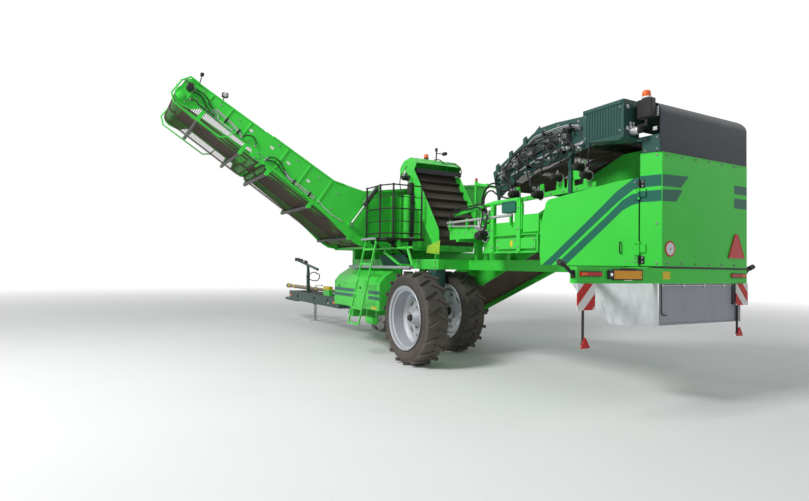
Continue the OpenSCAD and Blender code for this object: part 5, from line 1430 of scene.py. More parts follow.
class HARVESTER_OT_platform(bpy.types.Operator):
    """Adds the step edge, tread plate, hoses and braces of the platform and ladder"""
    bl_idname = "harvester.platform"
    bl_label = "Platform"

    def execute(self, context):
        piece("step_edge", [block((-0.058, 4.99, 2.204), (0.012, 5.62, 2.246), 0.006)], "grey")
        grip = slab((-0.018, -0.006, 0), (0.018, 0.006, 0.005), 0.002)
        places = []
        for i in range(9):
            for j in range(11):
                turn = Matrix.Rotation(math.radians(45 if (i + j) % 2 else -45), 4, "Z")
                places.append(Matrix.Translation(at(0.06 + i * 0.09, 4.69 + j * 0.09, 2.2395)) @ turn)
        piece("tread_lugs", [repeat(grip, places)], "black")
        tank = turned_part(at(0.79, 5.25, 2.242), UPWARDS,
            [(0, 0.070), (0.004, 0.080), (0.18, 0.080), (0.182, 0.083), (0.21, 0.083), (0.212, 0.080),
                (0.70, 0.080), (0.702, 0.083), (0.73, 0.083), (0.732, 0.080), (0.88, 0.080), (0.905, 0.060),
                (0.91, 0.004)], 28)
        piece("upright_cylinder", [tank], "leaf")
        bands = [block((0.77, 5.22, z), (0.895, 5.28, z + 0.03), 0.003) for z in (2.42, 2.94)]
        piece("cylinder_bands", bands, "steel")
        hose_bank("upright_hoses", [[at(0.805 + 0.022 * k, 5.14, 2.245), at(0.80 + 0.024 * k, 5.13, 2.45),
                    at(0.80 + 0.024 * k, 5.12, 2.72), at(0.80 + 0.024 * k, 5.12, 2.95),
                    at(0.83 + 0.012 * k, 5.15, 3.10 + 0.03 * k), at(0.888, 5.20, 3.02 + 0.04 * k)]
                for k in range(4)], 0.010)
        self.under()
        self.rail_fittings()
        self.ladder()
        return {"FINISHED"}

    def under(self):
        braces = [beam(beside(0.30, ((5.28, 2.01), (4.58, 1.73), (4.58, 1.69), (5.28, 1.96))), 0.04),
            beam(beside(0.30, ((4.38, 2.06), (4.18, 1.72), (4.13, 1.72), (4.33, 2.06))), 0.04),
            block((0.28, 4.16, 2.03), (0.32, 5.60, 2.07), 0.004),
            block((0.28, 5.20, 1.96), (0.62, 5.26, 2.02), 0.004),
            block((0.28, 4.60, 1.69), (0.60, 4.66, 1.75), 0.004),
            block((0.28, 4.66, 2.06), (0.32, 4.72, 2.205), 0.004),
            block((0.28, 5.56, 2.06), (0.32, 5.62, 2.205), 0.004)]
        piece("platform_braces", braces, "leaf")
        grey = [block((0.20, 4.10, 1.66), (0.28, 6.80, 1.71), 0.006),
            block((0.26, 4.55, 1.665), (0.60, 4.61, 1.705), 0.004),
            block((0.26, 6.60, 1.665), (0.60, 6.66, 1.705), 0.004)]
        piece("grey_beam", grey, "grey")

    def rail_fittings(self):
        """Flanges of the posts, and balls where the rails meet them."""
        posts = ((0.030, 5.560), (0.030, 4.960), (0.160, 4.670), (0.780, 4.670))
        feet = [turned_part(at(x, y, 2.240), UPWARDS,
                [(0, 0.040), (0.006, 0.040), (0.008, 0.023), (0.030, 0.020)], 16) for x, y in posts]
        knobs = [turned_part(at(x, y, z - 0.018), UPWARDS,
                [(0, 0.0185), (0.003, 0.022), (0.033, 0.022), (0.036, 0.0185)], 16) for x, y in posts
            for z in (2.33, 2.80, 3.25)]
        piece("railing_sockets", feet + knobs, "black")
        net = []
        for (x0, y0), (x1, y1) in zip(posts, posts[1:]):
            net.append(rod(at(x0, y0, 3.03), at(x1, y1, 3.03), 0.008, 8))
            net.append(rod(at(x0, y0, 2.56), at(x1, y1, 2.56), 0.008, 8))
        piece("railing_rods", net, "black")

    def ladder(self):
        """Punched treads on the rungs and bolts on the rails."""
        root = Matrix.Translation(at(-0.030, 0, 2.190)) @ Matrix.Rotation(LADDER_LEAN, 4, "Y")
        tread = slab((-0.024, 4.992, 0.030), (0.024, 5.428, 0.034), 0.001)
        rungs = repeat(tread, [root @ Matrix.Translation((0, 0, -1.64 + i * LADDER_PITCH))
                for i in range(RUNGS)])
        nub = turned_part((0, 0, 0), UPWARDS, [(0, 0.010), (0.004, 0.0075), (0.005, 0.004)], 8)
        spots = [root @ Matrix.Translation((d, 5.03 + 0.045 * j, -1.64 + i * LADDER_PITCH + 0.034))
                 for i in range(RUNGS) for j in range(9) for d in (-0.012, 0.012)]
        piece("ladder_treads", [rungs, repeat(nub, spots)], "leaf", "ladder")
        heads = bolts([root @ Vector((0, 4.9595, -1.625 + i * LADDER_PITCH)) for i in range(RUNGS)],
            BACKWARDS, 0.022)
        piece("ladder_bolts", [heads], "zinc", "ladder")


class HARVESTER_OT_conveyor(bpy.types.Operator):
    """Adds the drives, hoses, lamps, guards and folds of the unloading conveyor"""
    bl_idname = "harvester.conveyor"
    bl_label = "Unloading Conveyor"

    NEAR, FAR = CONVEYOR_NEAR, CONVEYOR_FAR

    def run(self, y, pairs):
        """Points beside the conveyor at one distance from the rear."""
        return [up_conveyor(u, v, y) for u, v in pairs]

    def tucked(self, wall, y, pairs):
        """A run that comes out of the wall at its first pair and goes back into it at the last."""
        return [up_conveyor(*pairs[0], wall), *self.run(y, pairs), up_conveyor(*pairs[-1], wall)]

    def patch(self, y, u0, v0, u1, v1, depth, edge=0.004):
        """A plate with sides along and square to the slope."""
        return beam(self.run(y, ((u0, v0), (u1, v0), (u1, v1), (u0, v1))), depth, edge)

    def execute(self, context):
        self.folds()
        self.head_drive()
        self.head_hoses()
        self.root_hoses()
        self.lamps()
        self.labels()
        self.belt_sides()
        return {"FINISHED"}

    def folds(self):
        """Pressed stiffeners and folded edges on the walls, with bolts."""
        root_parts, head_parts = [], []
        for y in (self.NEAR - 0.007, self.FAR + 0.007):
            edge = ((0.95, 0.661), (1.175, 0.575), (2.60, 0.485))
            for (u0, v0), (u1, v1) in zip(edge, edge[1:]):
                root_parts.append(beam(self.run(y, ((u0, v0), (u1, v1), (u1, v1 + 0.028), (u0, v0 + 0.028))),
                        0.020, 0.003))
            for u, v0, v1 in ((1.20, 0.02, 0.56), (1.72, 0.02, 0.53), (2.24, 0.02, 0.50)):
                root_parts.append(self.patch(y, u - 0.02, v0, u + 0.02, v1, 0.016))
        for y in (self.NEAR + 0.010, self.FAR - 0.010):
            head_parts.append(beam(self.run(y, ((2.78, 0.462), (4.13, 0.375), (4.13, 0.402), (2.78, 0.490))),
                    0.018, 0.003))
            for u, v1 in ((3.05, 0.44), (3.45, 0.42), (3.85, 0.39)):
                head_parts.append(self.patch(y, u - 0.018, 0.075, u + 0.018, v1, 0.014))
        piece("conveyor_folds", root_parts, "leaf", "conveyor")
        piece("head_folds", head_parts, "leaf", "conveyor_head")
        near = self.NEAR - 0.001
        spots = [(u, 0.10) for u in (0.30, 0.90, 1.45, 1.98, 2.40)] + [(u, 0.44)
            for u in (0.95, 1.45, 1.98, 2.42)] + [(2.56, 0.06), (2.64, 0.06), (2.56, -0.05), (2.64, -0.05)]
        bolted("conveyor_bolts", self.run(near, spots), BACKWARDS, 0.026, body="conveyor")
        spots = [(u, 0.12) for u in (2.90, 3.25, 3.65, 4.0)] + [(u, 0.34)
            for u in (3.25, 3.65, 4.0)] + [(4.40, 0.12), (4.40, 0.24), (4.30, 0.30)]
        bolted("head_bolts", self.run(near + 0.017, spots), BACKWARDS, 0.024, body="conveyor_head")
        hook = bent_tube([(0, 0, 0), (0, -0.020, 0), (0, -0.020, -0.035), (0, -0.006, -0.042)], 0.005,
            round_by=0.01)
        turn = Matrix.Rotation(CONVEYOR_SLOPE, 4, "Y")
        places = [Matrix.Translation(up_conveyor(3.18 + 0.066 * i, 0.10, near + 0.018)) @ turn
            for i in range(12)]
        piece("belt_hooks", [repeat(hook, places)], "steel", "conveyor_head")

    def head_drive(self):
        y = self.NEAR + 0.016
        parts = motor(up_conveyor(4.21, 0.20, y), BACKWARDS, 0.062, 0.20)
        piece("head_motor", parts, "black", "conveyor_head")
        block = [beam(self.run(y - 0.02, ((4.12, -0.06), (4.33, -0.06), (4.35, 0.30), (4.12, 0.30))), 0.030,
                0.006), turned_part(up_conveyor(4.25, 0.0, y - 0.03), BACKWARDS,
                [(0, 0.075), (0.02, 0.075), (0.025, 0.055), (0.06, 0.050), (0.064, 0.02)], 24)]
        piece("head_gear_case", block, "leaf", "conveyor_head")
        bolted("gear_case_bolts", self.run(y - 0.036,
                ((4.14, -0.04), (4.31, -0.04), (4.33, 0.28), (4.14, 0.28))), BACKWARDS, 0.022,
            body="conveyor_head")
        post = [rod(up_conveyor(4.13, 0.38, y + 0.02), up_conveyor(4.20, 0.56, y + 0.02), 0.010, 10, 0.002),
            slab(up_conveyor(4.20, 0.56, y + 0.02) - Vector((0.03, 0.03, 0.02)),
                up_conveyor(4.20, 0.56, y + 0.02) + Vector((0.03, 0.04, 0.035)), 0.008)]
        piece("head_camera", post, "black", "conveyor_head")

    def head_hoses(self):
        y = self.NEAR - 0.022
        wall = self.NEAR + 0.016
        near = [
            ((4.13, 0.24), (3.99, 0.28), (3.88, 0.26), (3.79, 0.20), (3.69, 0.16)),
            ((4.14, 0.18), (4.02, 0.22), (3.92, 0.20), (3.84, 0.14), (3.70, 0.10)),
            ((4.09, 0.05), (4.02, 0.085), (3.94, 0.075), (3.81, 0.07), (3.60, 0.08)),
            ((3.04, 0.10), (2.98, 0.19), (2.88, 0.24), (2.80, 0.21), (2.76, 0.13)),
        ]
        hose_bank("head_hoses", [self.tucked(wall, y, run) for run in near], 0.011, "conveyor_head")
        pipes = [((3.68, 0.17), (3.57, 0.15), (3.55, 0.09), (3.23, 0.085)),
            ((3.66, 0.20), (3.52, 0.19), (3.27, 0.17), (3.06, 0.12)),
            ((3.66, 0.225), (3.50, 0.215), (3.30, 0.20), (3.08, 0.15))]
        piece("head_pipes", [bent_tube(self.tucked(wall, self.NEAR + 0.002, run), 0.008, round_by=0.025)
                             for run in pipes], "steel", "conveyor_head")
        piece("head_pipe_clamps", [self.patch(self.NEAR + 0.003, u - 0.02, v - 0.03, u + 0.02, v + 0.07,
                    0.028) for u, v in ((3.42, 0.15), (3.14, 0.13))], "cap", "conveyor_head")

    def root_hoses(self):
        wall, y = self.NEAR - 0.001, self.NEAR - 0.030
        runs = [((2.46, 0.08), (2.38, 0.17), (2.24, 0.19), (2.12, 0.13), (2.04, 0.09)),
                ((2.47, 0.03), (2.36, 0.10), (2.22, 0.11), (2.10, 0.06), (1.98, 0.05))]
        hose_bank("conveyor_hoses", [self.tucked(wall, y, run) for run in runs], 0.011, "conveyor")
        pipes = [((2.02, 0.085), (1.91, 0.06), (1.66, 0.07), (1.30, 0.07)),
            ((1.96, 0.045), (1.88, 0.030), (1.60, 0.03), (1.30, 0.03)),
            ((1.22, 0.07), (1.05, 0.03), (0.83, 0.01), (0.56, 0.04))]
        piece("conveyor_pipes", [bent_tube(self.tucked(wall, self.NEAR - 0.014, run), 0.009, round_by=0.03)
                                 for run in pipes], "steel", "conveyor")
        rail = rod(up_conveyor(2.46, -0.005, self.NEAR - 0.018), up_conveyor(1.53, -0.025, self.NEAR - 0.018),
            0.018, 14, 0.003)
        piece("fold_rod", [rail], "leaf", "conveyor")
        piece("conveyor_pipe_clamps", [self.patch(self.NEAR - 0.012, u - 0.02, 0.005, u + 0.02, 0.10, 0.026)
                                       for u in (1.80, 1.42)], "cap", "conveyor")

    def lamps(self):
        """Work light on its bracket, square to the wall."""
        c = up_conveyor(3.70, 0.53, self.NEAR + 0.02)
        body = [slab(c + Vector((-0.055, -0.045, -0.045)), c + Vector((0.055, 0.030, 0.045)), 0.014),
                rod(up_conveyor(3.66, 0.39, self.NEAR + 0.02), c, 0.009, 10, 0.002)]
        piece("work_light", body, "black", "conveyor_head")
        face = turned_part(c + BACKWARDS * 0.044, BACKWARDS,
            [(0, 0.040), (0.004, 0.038), (0.008, 0.030), (0.009, 0.003)], 24)
        piece("work_light_lens", [face], "glass", "conveyor_head")

    def labels(self):
        """Blank white labels, where the machine has its notices."""
        def label(u, v, width, height, y):
            return self.patch(y, u, v, u + width, v + height, 0.003, 0.0008)
        piece("blank_labels", [label(u, v, 0.075, 0.045, self.NEAR - 0.001)
                for u, v in ((1.55, 0.23), (2.05, 0.26), (2.46, 0.29))], "white", "conveyor")
        piece("blank_head_labels", [label(2.94, 0.30, 0.07, 0.045, self.NEAR + 0.015)], "white",
            "conveyor_head")

    def belt_sides(self):
        """Rubber skirts along the inside of the walls, over the web's edges."""
        inner = [self.patch(y, 0.10, 0.115, 2.50, 0.30, 0.008, 0.002) for y in (5.792, 7.508)]
        piece("conveyor_skirts", inner, "belt", "conveyor")
        inner = [self.patch(y, 2.80, 0.115, 4.16, 0.28, 0.008, 0.002) for y in (5.808, 7.492)]
        piece("head_skirts", inner, "belt", "conveyor_head")


LEFT_WHEEL, RIGHT_WHEEL = (0.225, 3.910, 0.810), (1.775, 4.950, 0.810)


def ring(x, centre, radius, thick, steps):
    """A closed bead round a wheel's axle line."""
    return hose(round_places(x, centre, radius, steps), thick, closed=True, sides=1, steps=1)


def round_places(x, centre, radius, count, turn=0.0):
    """Places in equal steps round a wheel's axle line."""
    y0, z0 = centre
    return [at(x, y0 + radius * math.cos(turn + 2 * math.pi * i / count),
            z0 + radius * math.sin(turn + 2 * math.pi * i / count)) for i in range(count)]


class HARVESTER_OT_wheels(bpy.types.Operator):
    """Adds nuts, hubs, valves, lips and the tyres' moulded ribs"""
    bl_idname = "harvester.wheels"
    bl_label = "Wheels"

    def execute(self, context):
        for side, (x, y, z), way in (("left", LEFT_WHEEL, -1), ("right", RIGHT_WHEEL, 1)):
            body, centre, out = side + "_wheel", (y, z), Vector((way, 0, 0))
            disc = x - way * 0.080 + way * 0.008
            bolted(side + "_wheel_nuts", round_places(disc, centre, 0.185, 10), out, 0.034, 0.026, body=body)
            cap = turned_part(at(x - way * 0.080 + way * 0.168, y, z), out,
                [(0, 0.062), (0.010, 0.062), (0.012, 0.052), (0.038, 0.050), (0.048, 0.036), (0.050, 0.004)],
                28)
            piece(side + "_hub_cap", [cap], "black", body)
            bolted(side + "_hub_bolts", round_places(x - way * 0.080 + way * 0.1655, centre, 0.074, 8, 0.2),
                out, 0.016, body=body)
            lips = [ring(x + s * 0.219, centre, 0.553, 0.0085, 56) for s in (-1, 1)]
            lips += [ring(x + way * 0.170, centre, 0.474, 0.007, 48),
                ring(disc + way * 0.002, centre, 0.405, 0.006, 48)]
            piece(side + "_rim_beads", lips, "rim", body)
            stem = [rod(at(x + way * 0.120, y - 0.30, z + 0.345), at(x + way * 0.185, y - 0.285, z + 0.325),
                    0.007, 10, 0.002)]
            piece(side + "_valve_stem", stem, "black", body)
            ribs = []
            for s in (-1, 1):
                for r, d in ((0.615, 0.2155), (0.640, 0.2205), (0.672, 0.2235), (0.700, 0.2235)):
                    ribs.append(ring(x + s * d, centre, r, 0.0050, 56))
            block = slab((-0.003, -0.022, -0.010), (0.003, 0.022, 0.010), 0.002)
            places = []
            for s in (-1, 1):
                for i in range(36):
                    a = 2 * math.pi * (i + 0.25) / 36
                    spot = at(x + s * 0.2215, y + 0.657 * math.cos(a), z + 0.657 * math.sin(a))
                    places.append(Matrix.Translation(spot) @ Matrix.Rotation(a + math.pi / 2, 4, "X"))
            ribs.append(repeat(block, places))
            piece(side + "_tyre_ribs", ribs, "tyre", body)
            hub = [turned_part(at(x - way * 0.075, y, z), -out,
                    [(0, 0.115), (0.03, 0.115), (0.035, 0.135), (0.055, 0.135), (0.060, 0.090),
                        (0.10, 0.080)], 28)]
            piece(side + "_brake_drum", hub, "black")
        return {"FINISHED"}


class HARVESTER_OT_front(bpy.types.Operator):
    """Adds the fittings of the left cover, oil tank, frame head and drawbar"""
    bl_idname = "harvester.front"
    bl_label = "Front and Drawbar"

    def execute(self, context):
        self.cover()
        self.tank()
        self.frame_bolts()
        self.drawbar()
        self.hoses()
        self.shaft_guard()
        self.jack()
        return {"FINISHED"}

    def cover(self):
        piece("cover_label", [block((-0.003, 4.98, 0.868), (0.001, 5.20, 0.918), 0.001)], "yellow")
        heads = [at(0.0, y, z) for y in (4.90, 5.45, 6.00, 6.55, 7.05) for z in (0.90, 1.32)]
        bolted("cover_bolts", heads, LEFTWARDS, 0.024)
        trims = [block((-0.006, 4.862, 0.850), (0.004, 7.098, 0.866), 0.002),
            block((-0.006, 5.93, 0.866), (0.004, 5.945, 1.366), 0.002)]
        piece("cover_trims", trims, "leaf")
        piece("cover_latches", [block((-0.014, y, 1.235), (0.002, y + 0.05, 1.275), 0.004)
                for y in (5.70, 6.80)], "black")
        slope = beam([at(x, y, z) for x, y, z in ((0.54, 4.62, 1.64), (0.54, 5.72, 1.64), (0.40, 5.72, 1.92),
                    (0.40, 4.62, 1.92))], 0.012)
        piece("sloped_inner_sheet", [slope], "pine")
        roller = turned_part(at(0.26, 5.52, 0.60), (0, 1, 0),
            [(0, 0.060), (0.004, 0.070), (0.05, 0.088), (0.19, 0.092), (0.33, 0.088), (0.376, 0.070),
                (0.38, 0.060)], 28)
        hanger = [block((0.245, 5.902, 0.56), (0.275, 5.955, 1.31), 0.005),
            block((0.245, 5.46, 1.00), (0.275, 5.955, 1.05), 0.005),
            block((0.245, 5.46, 0.57), (0.275, 5.515, 1.05), 0.005)]
        piece("support_roller", [roller, *hanger], "leaf")

    def tank(self):
        cap = turned_part(at(0.75, 6.60, 1.655), UPWARDS,
            [(0, 0.030), (0.02, 0.030), (0.022, 0.045), (0.06, 0.043), (0.066, 0.030), (0.067, 0.004)], 24)
        filler = turned_part(at(0.640, 6.62, 1.50), LEFTWARDS,
            [(0, 0.030), (0.030, 0.030), (0.032, 0.042), (0.060, 0.040), (0.066, 0.030), (0.067, 0.004)], 24)
        piece("tank_caps", [cap, filler], "cap")
        gauge = block((0.585, 6.80, 1.25), (0.604, 6.83, 1.45), 0.006)
        piece("tank_gauge", [gauge], "glass")
        straps = [block((0.594, y, 1.20), (1.396, y + 0.035, 1.662), 0.004) for y in (6.55, 7.05)]
        piece("tank_straps", straps, "black")
        filter_part = turned_part(at(0.90, 6.475, 1.34), BACKWARDS, [
            (0, 0.050), (0.03, 0.050), (0.032, 0.042), (0.16, 0.042), (0.17, 0.034), (0.171, 0.004)], 24)
        piece("oil_filter", [filter_part], "white")
        hose_bank("tank_hoses", [[at(0.70 + 0.14 * k, 6.478, 1.22), at(0.70 + 0.14 * k, 6.40, 1.21),
                    at(0.74 + 0.12 * k, 6.26, 1.30), at(0.80 + 0.1 * k, 6.20, 1.50),
                    at(0.84 + 0.08 * k, 6.17, 1.664)] for k in range(3)], 0.014)

    def frame_bolts(self):
        """Bolted joints of the frame, and folds on the bunker's walls."""
        heads = [at(0.556, y, z) for y in (3.80, 4.4, 5.5, 6.1, 7.0, 7.36) for z in (1.70, 1.80)]
        bolted("rail_bolts", heads, LEFTWARDS, 0.030)
        folds = []
        for x in (0.95, 1.90, 2.45):
            for y in (5.792, 7.508):
                folds.append(beam([at(x + a, y, z)
                            for a, z in ((-0.03, 2.14), (0.03, 2.14), (0.03, 3.16), (-0.03, 3.16))], 0.016))
        piece("bunker_folds", folds, "leaf")
        spots = [at(0.45 + 0.28 * i, 5.7585, 3.228 + 0.0377 + 0.28 * i * 0.134) for i in range(10)]
        piece("bunker_bolts", [bolts(spots, BACKWARDS, 0.024),
                bolts([Vector((p.x, ORIGIN.y + 7.5415, p.z)) for p in spots], FORWARDS, 0.024)], "zinc")
        bolted("right_panel_bolts", [at(3.340, y, z) for y in (0.15, 0.75, 1.40) for z in (1.82, 2.5, 3.14)],
            RIGHTWARDS, 0.024)

    def drawbar(self):
        parts = [block((0.500, 8.71, 0.902), (0.600, 9.13, 1.06), 0.008)]
        piece("valve_case", parts, "leaf", "drawbar")
        piece("valve_case_cover", [block((0.494, 8.72, 1.058), (0.606, 9.12, 1.150), 0.010)], "yellow",
            "drawbar")
        piece("drawbar_bolts", [
            bolts([at(x, y, z) for y in (8.15, 9.0, 10.45, 10.65, 11.95) for z in (0.70, 0.86)], out, 0.030)
            for x, out in ((0.498, LEFTWARDS), (1.102, RIGHTWARDS))],
              "zinc", "drawbar")
        # The orange lens finish glows faintly; on these reflectors, which are no lamps, it is a painted glow
        piece("side_reflector", [block((0.490, 8.30, 0.74), (0.501, 8.42, 0.80), 0.003),
                block((0.490, 11.80, 0.74), (0.501, 11.92, 0.80), 0.003)], "orange", "drawbar")
        edges = [block((x - 0.012, 8.06, 0.896), (x + 0.032, 11.995, 0.908), 0.002) for x in (0.500, 1.080)]
        piece("drawbar_edges", edges, "pine", "drawbar")
        collar = turned_part(at(0.80, 13.20, 0.624), UPWARDS,
            [(0, 0.058), (0.004, 0.052), (0.004, 0.030), (0.001, 0.0255)], 32)
        piece("eye_wear_ring", [collar], "steel", "drawbar")
        links = []
        for i in range(9):
            a = at(0.905, 12.35 + 0.055 * i, 0.668 + 0.010 * math.cos(i))
            turn = Matrix.Rotation(math.radians(90 * (i % 2)), 4, "Y")
            links.append(Matrix.Translation(a) @ turn)
        clear_selection()
        bpy.ops.mesh.primitive_torus_add(major_segments=16, minor_segments=6, major_radius=0.020,
            minor_radius=0.005)
        link = bpy.context.object
        link.scale = (0.75, 1.6, 1.0)
        settle(link)
        piece("safety_chain", [repeat(smooth(link, 60), links)], "steel", "drawbar")

    def hoses(self):
        runs = []
        for k in range(5):
            x = 0.545 + 0.030 * k
            runs.append([at(x, 9.20, 0.780), at(x, 9.26, 0.900), at(x, 9.50, 0.922), at(x, 10.10, 0.918),
                    at(x * 0.6 + 0.20, 10.38, 0.97), at(0.545 + 0.012 * k, 10.47, 1.20),
                    at(0.545 + 0.010 * k, 10.48, 1.50), at(0.500 + 0.014 * k, 10.60, 1.765),
                    at(0.500 + 0.014 * k, 10.95, 1.815), at(0.495 + 0.018 * k, 11.30, 1.868),
                    at(0.495 + 0.018 * k, 11.43, 1.872)])
        hose_bank("supply_hoses", runs, 0.012, "drawbar")
        plate_part = block((0.46, 11.405, 1.80), (0.60, 11.425, 1.90), 0.004)
        piece("coupling_plate", [plate_part], "black", "drawbar")
        couplings = [turned_part(at(0.495 + 0.018 * k, 11.425, 1.872), (0, 1, 0),
                [(0, 0.008), (0.004, 0.008), (0.006, 0.0078), (0.03, 0.0078), (0.032, 0.006), (0.045, 0.006),
                    (0.047, 0.002)], 12) for k in range(5)]
        piece("couplings", couplings, "red", "drawbar")
        loop = beside(0.49, ((10.43, 1.36), (10.20, 1.43), (9.90, 1.49), (9.60, 1.47), (9.40, 1.40),
                (9.48, 1.31), (9.72, 1.27), (10.05, 1.28), (10.30, 1.32)))
        hose_bank("hanging_hose_ring", [[at(0.502, 10.43, 1.40), *loop, at(0.502, 10.43, 1.30)]], 0.013,
            "drawbar")
        stay = [rod(at(0.52, 9.66, 1.56), at(0.495, 9.66, 1.44), 0.006, 8)]
        piece("hose_hook", stay, "steel", "drawbar")
        ties = [block((0.488, y, z - 0.012), (0.586, y + 0.018, z + 0.066), 0.004)
            for y, z in ((10.62, 1.738), (11.05, 1.80))]
        piece("hose_ties", ties, "cap", "drawbar")

    def shaft_guard(self):
        cone = turned_part(at(0.80, 8.27, 1.01), (0, 1, 0),
            [(0, 0.085), (0.03, 0.088), (0.05, 0.080), (0.09, 0.082), (0.11, 0.072), (0.15, 0.074),
                (0.17, 0.062), (0.20, 0.060)], 28)
        piece("guard_cone", [cone], "cap", "drawbar")
        rings = [turned_part(at(0.80, y, 1.01), (0, 1, 0),
                [(0, 0.052), (0.004, r), (0.05, r), (0.054, 0.052)], 28)
            for y, r in ((8.60, 0.049), (9.60, 0.049), (10.40, 0.049))]
        rings += [turned_part(at(0.80, y, 1.01), (0, 1, 0),
                [(0, 0.056), (0.004, 0.062), (0.10, 0.062), (0.104, 0.056)], 28)
            for y in (10.97, 12.30, 12.86)]
        piece("guard_rings", rings, "yellow", "drawbar")

    def jack(self):
        parts = [rod(at(1.16, 11.50, 0.985), at(1.16, 11.50, 1.08), 0.020, 16, 0.003),
            bent_tube([at(1.16, 11.50, 1.07), at(1.30, 11.50, 1.07), at(1.30, 11.38, 1.07)], 0.009,
                round_by=0.02), block((1.10, 11.434, 0.80), (1.222, 11.566, 0.83), 0.004),
            block((1.10, 11.434, 0.60), (1.222, 11.566, 0.63), 0.004)]
        piece("jack_crank", parts, "steel", "drawbar")
        knob = turned_part(at(1.30, 11.39, 1.07), BACKWARDS,
            [(0, 0.012), (0.01, 0.017), (0.07, 0.017), (0.08, 0.010)], 16)
        piece("jack_knob", [knob], "cap", "drawbar")


class HARVESTER_OT_rams(bpy.types.Operator):
    """Adds glands, ports, pipes and grease nipples to the cylinders"""
    bl_idname = "harvester.rams"
    bl_label = "Cylinders"

    def execute(self, context):
        table = (("steer", "steer_barrel", at(1.390, 7.500, 0.780), at(1.190, 8.720, 0.780), UPWARDS, 0.700,
                0.040), ("digger", "digger_barrel", at(2.640, 7.520, 1.640), at(2.640, 7.960, 0.930),
                LEFTWARDS, 0.480, 0.042), ("lift", "lift_barrel", at(0.330, 5.700, 3.300),
                at(-0.250, 5.700, 2.530), BACKWARDS, 0.480, 0.040))
        for name, body, base, eye, pin, length, radius in table:
            way = (eye - base).normalized()
            gland = turned_part(base + way * (length - 0.055), way,
                [(0, radius), (0.003, radius * 1.13), (0.045, radius * 1.13), (0.050, radius),
                    (0.056, radius * 0.9), (0.060, radius * 0.62)], 24)
            foot = turned_part(base + way * 0.045, way,
                [(0, radius * 0.9), (0.01, radius * 1.10), (0.04, radius * 1.10), (0.045, radius)], 24)
            piece(name + "_glands", [gland, foot], "black", body)
            across = way.cross(pin).normalized()
            if across.z < 0:
                across = -across
            ports = [base + way * d + across * radius * 0.95 for d in (0.075, length - 0.035)]
            fittings = [turned_part(p, across,
                    [(0, 0.013), (0.014, 0.013), (0.015, 0.017), (0.030, 0.017), (0.032, 0.010)], 6)
                for p in ports]
            pipe = bent_tube([ports[1] + across * 0.026, ports[1] + across * 0.026 - way * 0.06,
                    ports[0] + across * 0.020 + way * 0.16, ports[0] + across * 0.026 + way * 0.03], 0.006,
                round_by=0.02)
            piece(name + "_ports", [*fittings, pipe], "steel", body)
            nipple = turned_part(base - way * 0.036, -way,
                [(0, 0.006), (0.006, 0.006), (0.007, 0.004), (0.012, 0.0045), (0.014, 0.002)], 8)
            piece(name + "_nipple", [nipple], "steel", body)
        return {"FINISHED"}


class HARVESTER_OT_digger(bpy.types.Operator):
    """Adds bolts, scrapers, hubs and the drive of the digging unit"""
    bl_idname = "harvester.digger"
    bl_label = "Digging Unit"

    def execute(self, context):
        for x, way in ((1.826, -1), (3.454, 1)):
            side = "left" if way < 0 else "right"
            spots = beside(x, ((6.42, 1.10), (6.60, 1.14), (7.30, 0.70), (7.90, 0.60), (8.30, 0.50),
                    (8.75, 0.44), (8.95, 0.26)))
            bolted("digger_bolts_" + side, spots, Vector((way, 0, 0)), 0.030, body="digger")
            folds = [beam(beside(x, ((6.54, 1.245), (8.30, 0.628), (8.29, 0.598), (6.53, 1.215))), 0.026,
                    0.004), beam(beside(x, ((7.10, 0.60), (7.16, 0.60), (7.30, 0.94), (7.24, 0.96))), 0.020,
                    0.004)]
            piece("digger_folds_" + side, folds, "leaf", "digger")
        heads = [at(1.860 + 0.395 * i + dx, 8.66, 0.235) for i in range(4) for dx in (0.09, 0.285)]
        bolted("share_bolts", heads, (0, 0.6, 0.8), 0.026, 0.008, body="digger")
        bar = [block((1.842, 9.02, 0.425), (3.438, 9.06, 0.47), 0.005)]
        bar += [block((x - 0.02, 9.03, 0.405), (x + 0.02, 9.05, 0.45), 0.003)
            for x in (2.10, 2.40, 2.88, 3.18)]
        piece("roller_scraper", bar, "leaf", "digger")
        for side, x, way in (("left", 1.790, -1), ("right", 3.492, 1)):
            hub = turned_part(at(x - way * 0.006, 8.40, 0.33), (way, 0, 0),
                [(0, 0.080), (0.012, 0.080), (0.016, 0.052), (0.028, 0.048), (0.036, 0.030), (0.037, 0.004)],
                24)
            heads = bolts(round_places(x + way * 0.006, (8.40, 0.33), 0.066, 6), (way, 0, 0), 0.018)
            piece(side + "_disc_hub", [hub, heads], "steel", side + "_disc")
        case = turned_part(at(1.826, 6.56, 1.06), LEFTWARDS,
            [(0, 0.10), (0.02, 0.10), (0.026, 0.075), (0.05, 0.07), (0.054, 0.02)], 24)
        piece("digger_drive_case", [case], "black", "digger")
        return {"FINISHED"}


